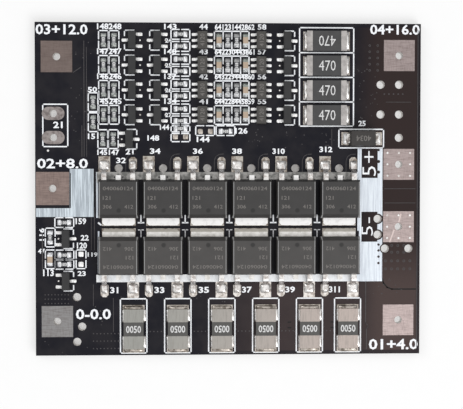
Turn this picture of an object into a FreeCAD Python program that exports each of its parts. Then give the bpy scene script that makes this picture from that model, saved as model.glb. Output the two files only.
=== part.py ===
"""Battery management board with its soldered components, in millimetres.

Everything is laid out from the board's lower left corner, as a board designer does.
The finished nodes are moved so that the origin is the middle of the board's underside.
"""
import FreeCAD, Part
import math
import os
import Sketcher

Vector = FreeCAD.Vector
UP = Vector(0, 0, 1)

# Driving dimensions
SIZES = {
    # Board and copper
    "board_thickness": 1.6,
    "copper_thickness": 0.07,
    "land_thickness": 0.1,
    "left_margin": 0.95,
    "right_margin": 1.0,
    "bottom_margin": 1.05,
    "top_margin": 2.84,
    # Square wire pads
    "wire_pad_size": 5.0,
    "wire_hole_radius": 0.6,
    "lower_pad_margin": 3.0,
    "upper_left_pad_margin": 3.0,
    "upper_right_pad_margin": 2.6,
    "output_pad_step": 10.1,
    "pad_gap": 0.15,
    # Middle tap pad and the tinned strip round two of its sides
    "tap_margin": 0.1,
    "tap_pad_size": 5.3,
    "tap_gap": 0.1,
    "tap_rise": 6.2,
    "battery_strip_width": 3.8,
    "battery_strip_foot": 1.4,
    "battery_strip_overrun": 0.5,
    # Rounded pads of the switch
    "switch_pad_length": 3.6,
    "switch_pad_width": 2.1,
    "switch_column_x": 2.9,
    "switch_rise": 5.5,
    "switch_pitch": 3.85,
    # Output strip, its two windows and its bands along the power transistors
    "output_strip_width": 3.8,
    "output_left_rail": 0.4,
    "output_right_rail": 0.8,
    "output_notch_length": 4.7,
    "output_window_length": 4.85,
    "band_width": 1.2,
    "side_strip_width": 0.35,
    "bus_gap": 0.4,
    "mask_clearance": 0.2,
    # Plain holes
    "plain_hole_radius": 0.65,
    "row_hole_setback": 0.75,
    "right_hole_shift": 3.0,
    "right_hole_drop": 2.2,
    "right_hole_pitch": 4.8,
    "last_hole_pitch": 3.75,
    "edge_hole_inset": 0.75,
    "edge_hole_offset": 1.28,
    "lower_hole_left": 2.2,
    "lower_hole_right": 1.65,
    "lower_hole_drop": 1.05,
    "corner_hole_shift": 0.65,
    "corner_hole_outer_shift": 1.45,
    "corner_hole_rise": 1.4,
    "corner_hole_drop": 0.8,
    "corner_hole_middle_drop": 0.85,
    # Power transistors: rows, case, tab and leads
    "mosfet_gap": 0.7,
    "row_gap": 0.6,
    "case_width": 6.4,
    "case_length": 6.1,
    "case_height": 2.3,
    "case_clearance": 0.05,
    "case_side_draft": 0.22,
    "case_lead_draft": 0.3,
    "case_tab_draft": 0.6,
    "case_lower_draft": 0.05,
    "tab_reach": 1.2,
    "tab_width": 5.2,
    "tab_length": 6.0,
    "tab_thickness": 0.5,
    "tab_corner": 0.35,
    "tab_land_border": 0.1,
    "stub_width": 0.8,
    "stub_reach": 0.75,
    "neck_length": 0.6,
    "lead_pitch": 4.572,
    "lead_width": 0.8,
    "lead_thickness": 0.5,
    "lead_rise": 0.9,
    "lead_shoulder": 0.8,
    "lead_slope": 0.75,
    "lead_foot": 1.05,
    "lead_bend_radius": 0.7,
    "source_land_width": 1.85,
    "source_land_toe": 1.2,
    "gate_land_width": 1.25,
    "gate_land_toe": 1.05,
    "gate_land_gap": 0.2,
    "gate_land_corner": 0.35,
    # Small moulded packages and their shared lead
    "small_case_length": 2.9,
    "small_case_draft": 0.1,
    "small_case_standoff": 0.08,
    "transistor_depth": 1.3,
    "transistor_height": 1.0,
    "transistor_lead_pitch": 1.9,
    "monitor_depth": 1.6,
    "monitor_height": 1.1,
    "monitor_lead_pitch": 0.95,
    "small_lead_width": 0.4,
    "small_lead_thickness": 0.15,
    "small_lead_root": 0.2,
    "small_lead_rise": 0.5,
    "small_lead_slope": 0.24,
    "small_lead_foot": 0.36,
    # Small chips
    "chip_length": 1.6,
    "chip_width": 0.8,
    "chip_end": 0.3,
    "chip_resistor_height": 0.45,
    "chip_capacitor_height": 0.8,
    # Balance resistors
    "balance_length": 6.4,
    "balance_width": 3.2,
    "balance_height": 0.6,
    "balance_end": 0.9,
    "balance_plating": 0.05,
    "balance_land_toe": 0.55,
    "balance_land_width": 3.0,
    # Current shunts
    "shunt_length": 6.4,
    "shunt_width": 3.2,
    "shunt_height": 0.65,
    "shunt_element": 2.25,
    "shunt_land_toe": 0.65,
    "shunt_land_width": 3.5,
    "shunt_shift": 2.35,
    "last_shunt_shift": 0.9,
    "shunt_gap": 3.0,
    # Diode
    "diode_length": 4.2,
    "diode_width": 2.6,
    "diode_height": 2.1,
    "diode_draft": 0.15,
    "diode_terminal_width": 1.45,
    "diode_terminal_thickness": 0.2,
    "diode_terminal_rise": 1.0,
    "diode_terminal_reach": 0.45,
    "diode_terminal_fold": 1.2,
    "diode_land_toe": 0.75,
    "diode_land_width": 2.1,
    "diode_clearance": 0.35,
    "diode_shift": 0.4,
    # Channel rows and columns
    "channel_pitch": 3.97,
    "row_clearance": 0.85,
    "chip_column_x": 10.93,
    "chip_column_step": 1.67,
    "first_transistor_step": 2.87,
    "second_transistor_step": 4.03,
    "pair_column_step": 3.7,
    "pair_offset": 0.96,
    "first_monitor_step": 3.5,
    "block_step": 2.67,
    "block_pitch": 1.42,
    "second_monitor_step": 2.54,
    "third_transistor_step": 4.18,
    "balance_step": 6.35,
    # Chips beside and below the channel rows
    "outer_chip_rise": 2.0,
    "outer_chip_drop": 1.2,
    "lower_row_drop": 3.9,
    "lower_pair_shift": 0.15,
    "lower_transistor_shift": 0.47,
    "third_pair_drop": 2.2,
    "link_drop": 2.62,
    "link_shift": 0.5,
    "link_pitch": 3.25,
    # Cluster of small parts at the lower left
    "cluster_gap": 0.9,
    "cluster_column_x": 2.35,
    "cluster_chip_step": 2.25,
    "cluster_transistor_step": 2.5,
    "cluster_resistor_drop": 2.4,
    "cluster_transistor_drop": 2.6,
    "cluster_upper_chip_drop": 5.2,
    "cluster_capacitor_drop": 5.9,
    "cluster_lower_chip_drop": 6.7,
    "cluster_lower_transistor_drop": 9.4,
}

MOSFETS_PER_ROW = 6
CHANNELS = 4
NEAR = 0.001

doc = FreeCAD.newDocument("battery_management_board")
sheet = doc.addObject("Spreadsheet::Sheet", "sizes")
for line, (alias, number) in enumerate(SIZES.items(), start=1):
    sheet.set(f"A{line}", alias)
    sheet.set(f"B{line}", str(number))
    sheet.setAlias(f"B{line}", alias)
doc.recompute()

# Stations: places and spans that follow from the driving dimensions
layout = doc.addObject("App::VarSet", "layout")
STATIONS = {
    "mosfet_pitch": "sizes.case_width + sizes.mosfet_gap",
    "mosfet_reach": "sizes.row_gap / 2 + sizes.tab_reach + sizes.case_length + lead_reach",
    "lead_reach": "sizes.lead_shoulder + sizes.lead_slope + sizes.lead_foot",
    "case_front": "sizes.tab_reach + sizes.case_length",
    "band_inner": "sizes.row_gap / 2 + sizes.tab_reach + sizes.case_length + sizes.case_clearance",
    "band_outer": "band_inner + sizes.band_width",
    "source_land_start": "band_outer - sizes.row_gap / 2",
    "source_land_end": "mosfet_reach - sizes.row_gap / 2 + sizes.source_land_toe",
    "gate_land_start": "band_outer - sizes.row_gap / 2 + sizes.gate_land_gap",
    "gate_land_end": "mosfet_reach - sizes.row_gap / 2 + sizes.gate_land_toe",
    "battery_strip_x": "sizes.tap_margin + sizes.tap_pad_size + sizes.tap_gap",
    "side_strip_x": "battery_strip_x + sizes.battery_strip_width + sizes.bus_gap",
    "first_mosfet_x": "side_strip_x + sizes.side_strip_width + sizes.case_clearance + sizes.case_width / 2",
    "last_mosfet_x": f"first_mosfet_x + {MOSFETS_PER_ROW - 1} * mosfet_pitch",
    "output_strip_x": "last_mosfet_x + sizes.case_width / 2 + sizes.case_clearance",
    "output_strip_end": "output_strip_x + sizes.output_strip_width",
    "left_column_x": "sizes.left_margin + sizes.wire_pad_size / 2",
    "right_column_x": "output_strip_end + sizes.pad_gap + sizes.wire_pad_size / 2",
    "board_length": "right_column_x + sizes.wire_pad_size / 2 + sizes.right_margin",
    "shunt_y": "sizes.bottom_margin + sizes.shunt_length / 2",
    "midline_y": "shunt_y + sizes.shunt_length / 2 + sizes.shunt_gap + mosfet_reach",
    "output_pad_y": "midline_y + sizes.output_pad_step",
    "output_strip_top": "output_pad_y + sizes.wire_pad_size / 2",
    "diode_x": "output_strip_x + sizes.diode_shift",
    "diode_y": "output_strip_top + sizes.diode_clearance + sizes.diode_width / 2",
    "last_row_y": "diode_y + sizes.diode_width / 2 + sizes.row_clearance + sizes.balance_width / 2",
    "first_row_y": f"last_row_y + {CHANNELS - 1} * sizes.channel_pitch",
    "board_width": "first_row_y + sizes.top_margin",
    "lower_pad_y": "sizes.lower_pad_margin + sizes.wire_pad_size / 2",
    "upper_left_pad_y": "board_width - sizes.upper_left_pad_margin - sizes.wire_pad_size / 2",
    "upper_right_pad_y": "board_width - sizes.upper_right_pad_margin - sizes.wire_pad_size / 2",
    "tap_x": "sizes.tap_margin + sizes.tap_pad_size / 2",
    "tap_y": "midline_y + sizes.tap_rise",
    "battery_strip_top": "tap_y + sizes.tap_pad_size / 2 + sizes.battery_strip_overrun",
    "battery_foot_top": "tap_y - sizes.tap_pad_size / 2 - sizes.battery_strip_overrun",
    "battery_strip_bottom": "battery_foot_top - sizes.battery_strip_foot",
    "cluster_y": "battery_strip_bottom - sizes.cluster_gap",
    "switch_y": "tap_y + sizes.tap_pad_size / 2 + sizes.switch_rise",
    "right_hole_x": "right_column_x - sizes.right_hole_shift",
    "right_hole_y": "upper_right_pad_y - sizes.wire_pad_size / 2 - sizes.right_hole_drop",
    "lower_hole_y": "midline_y - sizes.wire_pad_size / 2 - sizes.lower_hole_drop",
    "first_transistor_x": "sizes.chip_column_x + sizes.chip_column_step + sizes.first_transistor_step",
    "second_transistor_x": "first_transistor_x + sizes.second_transistor_step",
    "pair_column_x": "second_transistor_x + sizes.pair_column_step",
    "first_monitor_x": "pair_column_x + sizes.first_monitor_step",
    "block_x": "first_monitor_x + sizes.block_step",
    "second_monitor_x": "block_x + 3 * sizes.block_pitch + sizes.second_monitor_step",
    "third_transistor_x": "second_monitor_x + sizes.third_transistor_step",
    "balance_x": "third_transistor_x + sizes.balance_step",
    "seat_z": "sizes.board_thickness + sizes.land_thickness",
}
for station in STATIONS:
    layout.addProperty("App::PropertyFloat", station, "Stations")
for station, expression in STATIONS.items():
    layout.setExpression(station, expression)
doc.recompute()


def value(expression):
    """Number that an expression of the sheet and the stations has now."""
    return float(sheet.evalExpression(expression))


nodes = []


# Helpers for sketches and features
def sketch_in(body, name, role="XY_Plane", height="0"):
    """Empty sketch on one of the body's own origin planes, lifted by an expression."""
    sketch = body.newObject("Sketcher::SketchObject", name)
    plane = next(item for item in body.Origin.OriginFeatures if item.Role == role)
    sketch.AttachmentSupport = [(plane, "")]
    sketch.MapMode = "FlatFace"
    sketch.setExpression("AttachmentOffset.Base.z", height)
    return sketch


def bind(sketch, kind, *arguments):
    """Constraint whose last argument is an expression that keeps driving it."""
    expression = arguments[-1]
    index = sketch.addConstraint(Sketcher.Constraint(kind, *arguments[:-1], value(expression)))
    sketch.setExpression(f"Constraints[{index}]", expression)


def pin(sketch, geometry, point, across, up):
    """Hold one point of the sketch at two expressions."""
    bind(sketch, "DistanceX", -1, 1, geometry, point, across)
    bind(sketch, "DistanceY", -1, 1, geometry, point, up)


def outline(sketch, corners):
    """Closed outline with straight sides through corners given as pairs of expressions."""
    spots = [Vector(value(across), value(up), 0) for across, up in corners]
    first = sketch.GeometryCount
    sketch.addGeometry([Part.LineSegment(*ends) for ends in zip(spots, spots[1:] + spots[:1])])
    for number, (across, up) in enumerate(corners):
        following = first + (number + 1) % len(corners)
        sketch.addConstraint(Sketcher.Constraint("Coincident", first + number, 2, following, 1))
        pin(sketch, first + number, 1, across, up)


def rectangle(sketch, left, bottom, right, top):
    """Closed rectangle between four expressions."""
    outline(sketch, [(left, bottom), (right, bottom), (right, top), (left, top)])


def circle(sketch, across, up, radius):
    """Circle whose centre and radius are expressions."""
    centre = Vector(value(across), value(up), 0)
    index = sketch.addGeometry(Part.Circle(centre, UP, value(radius)))
    pin(sketch, index, 3, across, up)
    bind(sketch, "Radius", index, radius)


def slot(sketch, reach, radius):
    """Slot along X about the origin: half circles at both ends and straight sides between them."""
    tip = value(reach)
    half_width = value(radius)
    quarter = math.pi / 2
    right_end = Part.ArcOfCircle(Part.Circle(Vector(tip, 0, 0), UP, half_width), -quarter, quarter)
    left_end = Part.ArcOfCircle(Part.Circle(Vector(-tip, 0, 0), UP, half_width), quarter, 3 * quarter)
    lower, right, upper, left = [sketch.addGeometry(curve) for curve in (
        Part.LineSegment(Vector(-tip, -half_width, 0), Vector(tip, -half_width, 0)),
        right_end,
        Part.LineSegment(Vector(tip, half_width, 0), Vector(-tip, half_width, 0)),
        left_end,
    )]
    for side, following in ((lower, right), (right, upper), (upper, left), (left, lower)):
        sketch.addConstraint(Sketcher.Constraint("Tangent", side, 2, following, 1))
    pin(sketch, right, 3, reach, "0")
    pin(sketch, left, 3, f"-({reach})", "0")
    bind(sketch, "Radius", right, radius)
    bind(sketch, "Radius", left, radius)


def pad(body, sketch, length, symmetric=False):
    """Pad of a sketch, upwards or to both sides of its plane."""
    feature = body.newObject("PartDesign::Pad", sketch.Name + "_pad")
    feature.Profile = sketch
    feature.SideType = "Symmetric" if symmetric else "One side"
    feature.setExpression("Length", length)


def pocket(body, sketch, depth):
    """Pocket of a sketch, upwards into the solid above its plane."""
    feature = body.newObject("PartDesign::Pocket", sketch.Name + "_pocket")
    feature.Profile = sketch
    feature.Reversed = True
    feature.setExpression("Length", depth)


def round_edge(body, name, across, up, radius):
    """Fillet of the edge along X that crosses the YZ plane at one corner."""
    doc.recompute()
    corner = Vector(0, value(across), value(up))
    base = body.Tip
    chosen = [
        f"Edge{number}" for number, edge in enumerate(base.Shape.Edges, start=1)
        if edge.CenterOfMass.distanceToPoint(corner) < NEAR
    ]
    fillet = body.newObject("PartDesign::Fillet", name)
    fillet.Base = (base, chosen)
    fillet.setExpression("Radius", radius)


def place(across, up, lift="0", turn=0):
    """Placement at expressions from the board's corner, turned about Z by degrees."""
    return FreeCAD.Placement(Vector(value(across), value(up), value(lift)), FreeCAD.Rotation(UP, turn))


# Helpers for the nodes
def move(node, across="0", up="0", lift="0", turn=0):
    """Bind a node's place, given from the board's corner, and add the node to the part."""
    node.Placement = FreeCAD.Placement(Vector(), FreeCAD.Rotation(UP, turn))
    node.setExpression("Placement.Base.x", f"{across} - layout.board_length / 2")
    node.setExpression("Placement.Base.y", f"{up} - layout.board_width / 2")
    node.setExpression("Placement.Base.z", lift)
    nodes.append(node)


def group(label, copies):
    """Node of separate solids: each copy is a form and its place from the board's corner."""
    node = doc.addObject("Part::Feature", label)
    solids = []
    for form, spot in copies:
        solid = form.Shape.copy()
        solid.Placement = spot * solid.Placement
        solids.append(solid)
    node.Shape = Part.makeCompound(solids)
    node.Placement = place("-layout.board_length / 2", "-layout.board_width / 2")
    nodes.append(node)


def both_ends(form, spots):
    """Copies of a form at one end of a component and, turned round, at the other."""
    return [(form, spot * place("0", "0", turn=turn)) for spot in spots for turn in (0, 180)]


# Forms that the nodes repeat
def block_form(name, start, end, width, height):
    """Block from start to end along Y, centred across."""
    block = doc.addObject("Part::Box", name)
    block.setExpression("Length", width)
    block.setExpression("Width", f"{end} - ({start})")
    block.setExpression("Height", height)
    block.setExpression("Placement.Base.x", f"-({width}) / 2")
    block.setExpression("Placement.Base.y", start)
    return block


def wire_pad_form(name, width):
    """Square pad with the hole for its wire."""
    body = doc.addObject("PartDesign::Body", name)
    plate = sketch_in(body, name + "_plate")
    rectangle(plate, f"-{width} / 2", f"-{width} / 2", f"{width} / 2", f"{width} / 2")
    circle(plate, "0", "0", "sizes.wire_hole_radius")
    pad(body, plate, "sizes.copper_thickness")
    return body


def switch_pad_form(name):
    """Pad with round ends and the hole for its wire."""
    body = doc.addObject("PartDesign::Body", name)
    plate = sketch_in(body, name + "_plate")
    slot(plate, "(sizes.switch_pad_length - sizes.switch_pad_width) / 2", "sizes.switch_pad_width / 2")
    circle(plate, "0", "0", "sizes.wire_hole_radius")
    pad(body, plate, "sizes.copper_thickness")
    return body


def gate_land_form(name):
    """Narrow land with cropped corners, from its start towards its toe along Y."""
    body = doc.addObject("PartDesign::Body", name)
    plate = sketch_in(body, name + "_plate")
    half = "sizes.gate_land_width / 2"
    start, end = "layout.gate_land_start", "layout.gate_land_end"
    corner = "sizes.gate_land_corner"
    outline(plate, [
        (f"-{half} + {corner}", start),
        (f"{half} - {corner}", start),
        (half, f"{start} + {corner}"),
        (half, f"{end} - {corner}"),
        (f"{half} - {corner}", end),
        (f"-{half} + {corner}", end),
        (f"-{half}", f"{end} - {corner}"),
        (f"-{half}", f"{start} + {corner}"),
    ])
    pad(body, plate, "sizes.land_thickness")
    return body


def power_lead_form(name):
    """Gull-wing lead from the case's belt at Y 0: out, down and along its land."""
    body = doc.addObject("PartDesign::Body", name)
    side = sketch_in(body, name + "_side", role="YZ_Plane")
    rise, thickness = "sizes.lead_rise", "sizes.lead_thickness"
    heel = "(sizes.lead_shoulder + sizes.lead_slope)"
    mitre = f"({thickness} * (sqrt(sizes.lead_slope ^ 2 + {rise} ^ 2) - sizes.lead_slope) / {rise})"
    bend = (f"sizes.lead_shoulder + {mitre}", f"{rise} + {thickness}")
    outline(side, [
        ("0", rise),
        ("sizes.lead_shoulder", rise),
        (heel, "0"),
        ("layout.lead_reach", "0"),
        ("layout.lead_reach", thickness),
        (f"{heel} + {mitre}", thickness),
        bend,
        ("0", f"{rise} + {thickness}"),
    ])
    pad(body, side, "sizes.lead_width", symmetric=True)
    round_edge(body, name + "_bend", *bend, "sizes.lead_bend_radius")
    return body


def small_lead_form(name):
    """Small gull-wing lead from its case's belt at Y 0, tapering as it comes down to its foot."""
    body = doc.addObject("PartDesign::Body", name)
    side = sketch_in(body, name + "_side", role="YZ_Plane")
    rise, thickness = "sizes.small_lead_rise", "sizes.small_lead_thickness"
    toe = "sizes.small_lead_slope + sizes.small_lead_foot"
    outline(side, [
        ("0", rise),
        ("sizes.small_lead_slope", "0"),
        (toe, "0"),
        (toe, thickness),
        (f"sizes.small_lead_slope + {thickness} / 2", thickness),
        ("0", f"{rise} + sizes.small_lead_root"),
    ])
    pad(body, side, "sizes.small_lead_width", symmetric=True)
    return body


def case_form(name, half_width, rear, front, sections):
    """Moulded case lofted through sections: height, then inset at the sides, rear and front."""
    body = doc.addObject("PartDesign::Body", name)
    outlines = []
    for number, (height, side_inset, rear_inset, front_inset) in enumerate(sections):
        section = sketch_in(body, f"{name}_section_{number}", height=height)
        half = f"({half_width} - {side_inset})"
        rectangle(section, f"-{half}", f"{rear} + {rear_inset}", half, f"{front} - {front_inset}")
        outlines.append(section)
    loft = body.newObject("PartDesign::AdditiveLoft", name + "_loft")
    loft.Profile = outlines[0]
    loft.Sections = outlines[1:]
    loft.Ruled = True
    return body


def small_case_form(name, length, depth, bottom, belt_top, top, draft):
    """Small moulded case, upright up to where its leads come out and drafted above."""
    return case_form(name, f"{length} / 2", f"-{depth} / 2", f"{depth} / 2", [
        (bottom, "0", "0", "0"),
        (belt_top, "0", "0", "0"),
        (top, draft, draft, draft),
    ])


def tab_body(name):
    """Drain tab with cropped corners and the neck and stub of the middle lead."""
    body = doc.addObject("PartDesign::Body", name)
    plate = sketch_in(body, name + "_plate")
    half = "sizes.tab_width / 2"
    outline(plate, [
        (f"-{half} + sizes.tab_corner", "0"),
        (f"{half} - sizes.tab_corner", "0"),
        (half, "sizes.tab_corner"),
        (half, "sizes.tab_length"),
        (f"-{half}", "sizes.tab_length"),
        (f"-{half}", "sizes.tab_corner"),
    ])
    pad(body, plate, "sizes.tab_thickness")
    stub = sketch_in(body, name + "_stub", role="YZ_Plane")
    neck = "sizes.tab_length - sizes.neck_length"
    stub_top = "sizes.lead_rise + sizes.lead_thickness"
    outline(stub, [
        (neck, "0"),
        ("sizes.tab_length", "0"),
        ("sizes.tab_length", "sizes.lead_rise"),
        ("layout.case_front + sizes.stub_reach", "sizes.lead_rise"),
        ("layout.case_front + sizes.stub_reach", stub_top),
        (neck, stub_top),
    ])
    pad(body, stub, "sizes.stub_width", symmetric=True)
    return body


# Board with its through holes
MOSFET_ROW = [f"(layout.first_mosfet_x + {place} * layout.mosfet_pitch)" for place in range(MOSFETS_PER_ROW)]
WIRE_PADS = [
    ("layout.left_column_x", "layout.upper_left_pad_y"),
    ("layout.left_column_x", "layout.lower_pad_y"),
    ("layout.right_column_x", "layout.upper_right_pad_y"),
    ("layout.right_column_x", "layout.output_pad_y"),
    ("layout.right_column_x", "layout.midline_y"),
    ("layout.right_column_x", "layout.lower_pad_y"),
]
TAP_PAD = ("layout.tap_x", "layout.tap_y")
SWITCH_PADS = [
    ("sizes.switch_column_x", "layout.switch_y"),
    ("sizes.switch_column_x", "layout.switch_y + sizes.switch_pitch"),
]
STRIP_HOLES = [
    ("(layout.output_strip_end - sizes.edge_hole_inset)", "(layout.midline_y + sizes.edge_hole_offset)"),
    ("(layout.output_strip_end - sizes.edge_hole_inset)", "(layout.midline_y - sizes.edge_hole_offset)"),
    ("(layout.right_column_x - sizes.lower_hole_left)", "layout.lower_hole_y"),
]
PAD_CORNER = "sizes.wire_pad_size / 2"
PLAIN_HOLES = STRIP_HOLES + [
    (column, "layout.midline_y + layout.mosfet_reach - sizes.row_hole_setback") for column in MOSFET_ROW
] + [
    ("layout.right_hole_x", "layout.right_hole_y"),
    ("layout.right_column_x", "layout.right_hole_y"),
    ("layout.right_hole_x", "layout.right_hole_y - sizes.right_hole_pitch"),
    ("layout.right_column_x", "layout.right_hole_y - sizes.right_hole_pitch"),
    ("layout.right_column_x", "layout.right_hole_y - sizes.right_hole_pitch - sizes.last_hole_pitch"),
    ("layout.right_column_x + sizes.lower_hole_right", "layout.lower_hole_y"),
    (f"layout.left_column_x + {PAD_CORNER} + sizes.corner_hole_shift",
     f"layout.lower_pad_y + {PAD_CORNER} + sizes.corner_hole_rise"),
    (f"layout.left_column_x + {PAD_CORNER} + sizes.corner_hole_outer_shift",
     "layout.lower_pad_y - sizes.corner_hole_middle_drop"),
    (f"layout.left_column_x + {PAD_CORNER} + sizes.corner_hole_shift",
     f"layout.lower_pad_y - {PAD_CORNER} - sizes.corner_hole_drop"),
]

pcb = doc.addObject("PartDesign::Body", "pcb")
board_outline = sketch_in(pcb, "board_outline")
rectangle(board_outline, "0", "0", "layout.board_length", "layout.board_width")
pad(pcb, board_outline, "sizes.board_thickness")
board_holes = sketch_in(pcb, "board_holes")
for across, up in WIRE_PADS + [TAP_PAD] + SWITCH_PADS:
    circle(board_holes, across, up, "sizes.wire_hole_radius")
for across, up in PLAIN_HOLES:
    circle(board_holes, across, up, "sizes.plain_hole_radius")
pocket(pcb, board_holes, "sizes.board_thickness")
move(pcb)

# Strip beside the tap pad
battery_strip = doc.addObject("PartDesign::Body", "battery_strip")
battery_outline = sketch_in(battery_strip, "battery_outline")
outline(battery_outline, [
    ("sizes.tap_margin", "layout.battery_strip_bottom"),
    ("layout.battery_strip_x + sizes.battery_strip_width", "layout.battery_strip_bottom"),
    ("layout.battery_strip_x + sizes.battery_strip_width", "layout.battery_strip_top"),
    ("layout.battery_strip_x", "layout.battery_strip_top"),
    ("layout.battery_strip_x", "layout.battery_foot_top"),
    ("sizes.tap_margin", "layout.battery_foot_top"),
])
pad(battery_strip, battery_outline, "sizes.land_thickness")
move(battery_strip, lift="sizes.board_thickness")

# Output strip with its bands, its notch and window, and room for the holes at its edge
output_strip = doc.addObject("PartDesign::Body", "output_strip")
output_outline = sketch_in(output_strip, "output_outline")
window_left = "layout.output_strip_x + sizes.output_left_rail"
window_right = "layout.output_strip_end - sizes.output_right_rail"
outline(output_outline, [
    ("layout.side_strip_x", "layout.midline_y + layout.band_outer"),
    ("layout.side_strip_x", "layout.midline_y + sizes.row_gap / 2 + sizes.tab_reach"),
    ("layout.side_strip_x + sizes.side_strip_width", "layout.midline_y + sizes.row_gap / 2 + sizes.tab_reach"),
    ("layout.side_strip_x + sizes.side_strip_width", "layout.midline_y + layout.band_inner"),
    ("layout.output_strip_x", "layout.midline_y + layout.band_inner"),
    ("layout.output_strip_x", "layout.midline_y - layout.band_inner"),
    ("layout.side_strip_x", "layout.midline_y - layout.band_inner"),
    ("layout.side_strip_x", "layout.midline_y - layout.band_outer"),
    ("layout.output_strip_end", "layout.midline_y - layout.band_outer"),
    ("layout.output_strip_end", "layout.output_strip_top"),
    (window_right, "layout.output_strip_top"),
    (window_right, "layout.output_strip_top - sizes.output_notch_length"),
    (window_left, "layout.output_strip_top - sizes.output_notch_length"),
    (window_left, "layout.output_strip_top"),
    ("layout.output_strip_x", "layout.output_strip_top"),
    ("layout.output_strip_x", "layout.midline_y + layout.band_outer"),
])
rectangle(
    output_outline,
    window_left, "layout.midline_y - sizes.output_window_length / 2",
    window_right, "layout.midline_y + sizes.output_window_length / 2",
)
pad(output_strip, output_outline, "sizes.land_thickness")
hole_room = sketch_in(output_strip, "hole_room")
for across, up in STRIP_HOLES:
    circle(hole_room, across, up, "sizes.plain_hole_radius + sizes.mask_clearance")
pocket(output_strip, hole_room, "sizes.land_thickness")
move(output_strip, lift="sizes.board_thickness")

# Power transistors: shared forms
mosfet_case_form = case_form(
    "mosfet_case_form", "sizes.case_width / 2", "sizes.tab_reach", "layout.case_front", [
        ("0", "sizes.case_lower_draft", "sizes.case_lower_draft", "sizes.case_lower_draft"),
        ("sizes.lead_rise", "0", "0", "0"),
        ("sizes.lead_rise + sizes.lead_thickness", "0", "0", "0"),
        ("sizes.case_height", "sizes.case_side_draft", "sizes.case_tab_draft", "sizes.case_lead_draft"),
    ])
tab_form = tab_body("tab_form")
lead_form = power_lead_form("lead_form")

# Power transistors: upper row with leads up, lower row turned round
MOSFET_SPOTS = [
    (column, f"layout.midline_y {side} sizes.row_gap / 2", turn)
    for side, turn in (("+", 0), ("-", 180)) for column in MOSFET_ROW
]
for number, (across, up, turn) in enumerate(MOSFET_SPOTS, start=1):
    mosfet_case = doc.addObject("Part::Cut", f"mosfet_case_{number:02d}")
    mosfet_case.Base = mosfet_case_form
    mosfet_case.Tool = tab_form
    move(mosfet_case, across, up, "layout.seat_z", turn)
    mosfet_tab = tab_body(f"mosfet_tab_{number:02d}")
    move(mosfet_tab, across, up, "layout.seat_z", turn)

# Balance resistors: ceramic bodies between wrapped ends
ROWS = [f"(layout.last_row_y + {step} * sizes.channel_pitch)" for step in range(CHANNELS)]
for number, row in enumerate(ROWS, start=1):
    ceramic = doc.addObject("Part::Box", f"balance_resistor_{number}")
    ceramic.setExpression("Length", "sizes.balance_length - 2 * sizes.balance_plating")
    ceramic.setExpression("Width", "sizes.balance_width")
    ceramic.setExpression("Height", "sizes.balance_height - 2 * sizes.balance_plating")
    move(
        ceramic, "layout.balance_x - sizes.balance_length / 2 + sizes.balance_plating",
        f"{row} - sizes.balance_width / 2", "layout.seat_z + sizes.balance_plating",
    )
wrap_form = doc.addObject("PartDesign::Body", "wrap_form")
wrap_side = sketch_in(wrap_form, "wrap_side", role="YZ_Plane")
wrap_start = "sizes.balance_length / 2 - sizes.balance_end"
wrap_end = "sizes.balance_length / 2"
outline(wrap_side, [
    (wrap_start, "0"),
    (wrap_end, "0"),
    (wrap_end, "sizes.balance_height"),
    (wrap_start, "sizes.balance_height"),
    (wrap_start, "sizes.balance_height - sizes.balance_plating"),
    (f"{wrap_end} - sizes.balance_plating", "sizes.balance_height - sizes.balance_plating"),
    (f"{wrap_end} - sizes.balance_plating", "sizes.balance_plating"),
    (wrap_start, "sizes.balance_plating"),
])
pad(wrap_form, wrap_side, "sizes.balance_width", symmetric=True)

# Current shunts: a coated element between two metal terminals
SHUNT_COLUMNS = [f"({column} + sizes.shunt_shift)" for column in MOSFET_ROW]
SHUNT_COLUMNS[-1] = f"({SHUNT_COLUMNS[-1]} - sizes.last_shunt_shift)"
for number, column in enumerate(SHUNT_COLUMNS, start=1):
    element = doc.addObject("Part::Box", f"shunt_body_{number}")
    element.setExpression("Length", "sizes.shunt_width")
    element.setExpression("Width", "sizes.shunt_element")
    element.setExpression("Height", "sizes.shunt_height")
    move(
        element, f"{column} - sizes.shunt_width / 2",
        "layout.shunt_y - sizes.shunt_element / 2", "layout.seat_z",
    )
shunt_terminal_form = block_form(
    "shunt_terminal_form", "sizes.shunt_element / 2", "sizes.shunt_length / 2",
    "sizes.shunt_width", "sizes.shunt_height",
)

# Diode: moulded case and a terminal folded under it
diode_case = small_case_form(
    "diode_case", "sizes.diode_length", "sizes.diode_width", "sizes.diode_terminal_thickness",
    "sizes.diode_terminal_rise + sizes.diode_terminal_thickness", "sizes.diode_height", "sizes.diode_draft",
)
move(diode_case, "layout.diode_x", "layout.diode_y", "layout.seat_z")
terminal_form = doc.addObject("PartDesign::Body", "terminal_form")
terminal_side = sketch_in(terminal_form, "terminal_side", role="YZ_Plane")
end_face = "sizes.diode_length / 2"
folded_end = f"{end_face} - sizes.diode_terminal_fold"
outer_face = f"{end_face} + sizes.diode_terminal_reach"
inner_face = f"{outer_face} - sizes.diode_terminal_thickness"
terminal_top = "sizes.diode_terminal_rise + sizes.diode_terminal_thickness"
outline(terminal_side, [
    (end_face, "sizes.diode_terminal_rise"),
    (inner_face, "sizes.diode_terminal_rise"),
    (inner_face, "sizes.diode_terminal_thickness"),
    (folded_end, "sizes.diode_terminal_thickness"),
    (folded_end, "0"),
    (outer_face, "0"),
    (outer_face, terminal_top),
    (end_face, terminal_top),
])
pad(terminal_form, terminal_side, "sizes.diode_terminal_width", symmetric=True)

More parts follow.
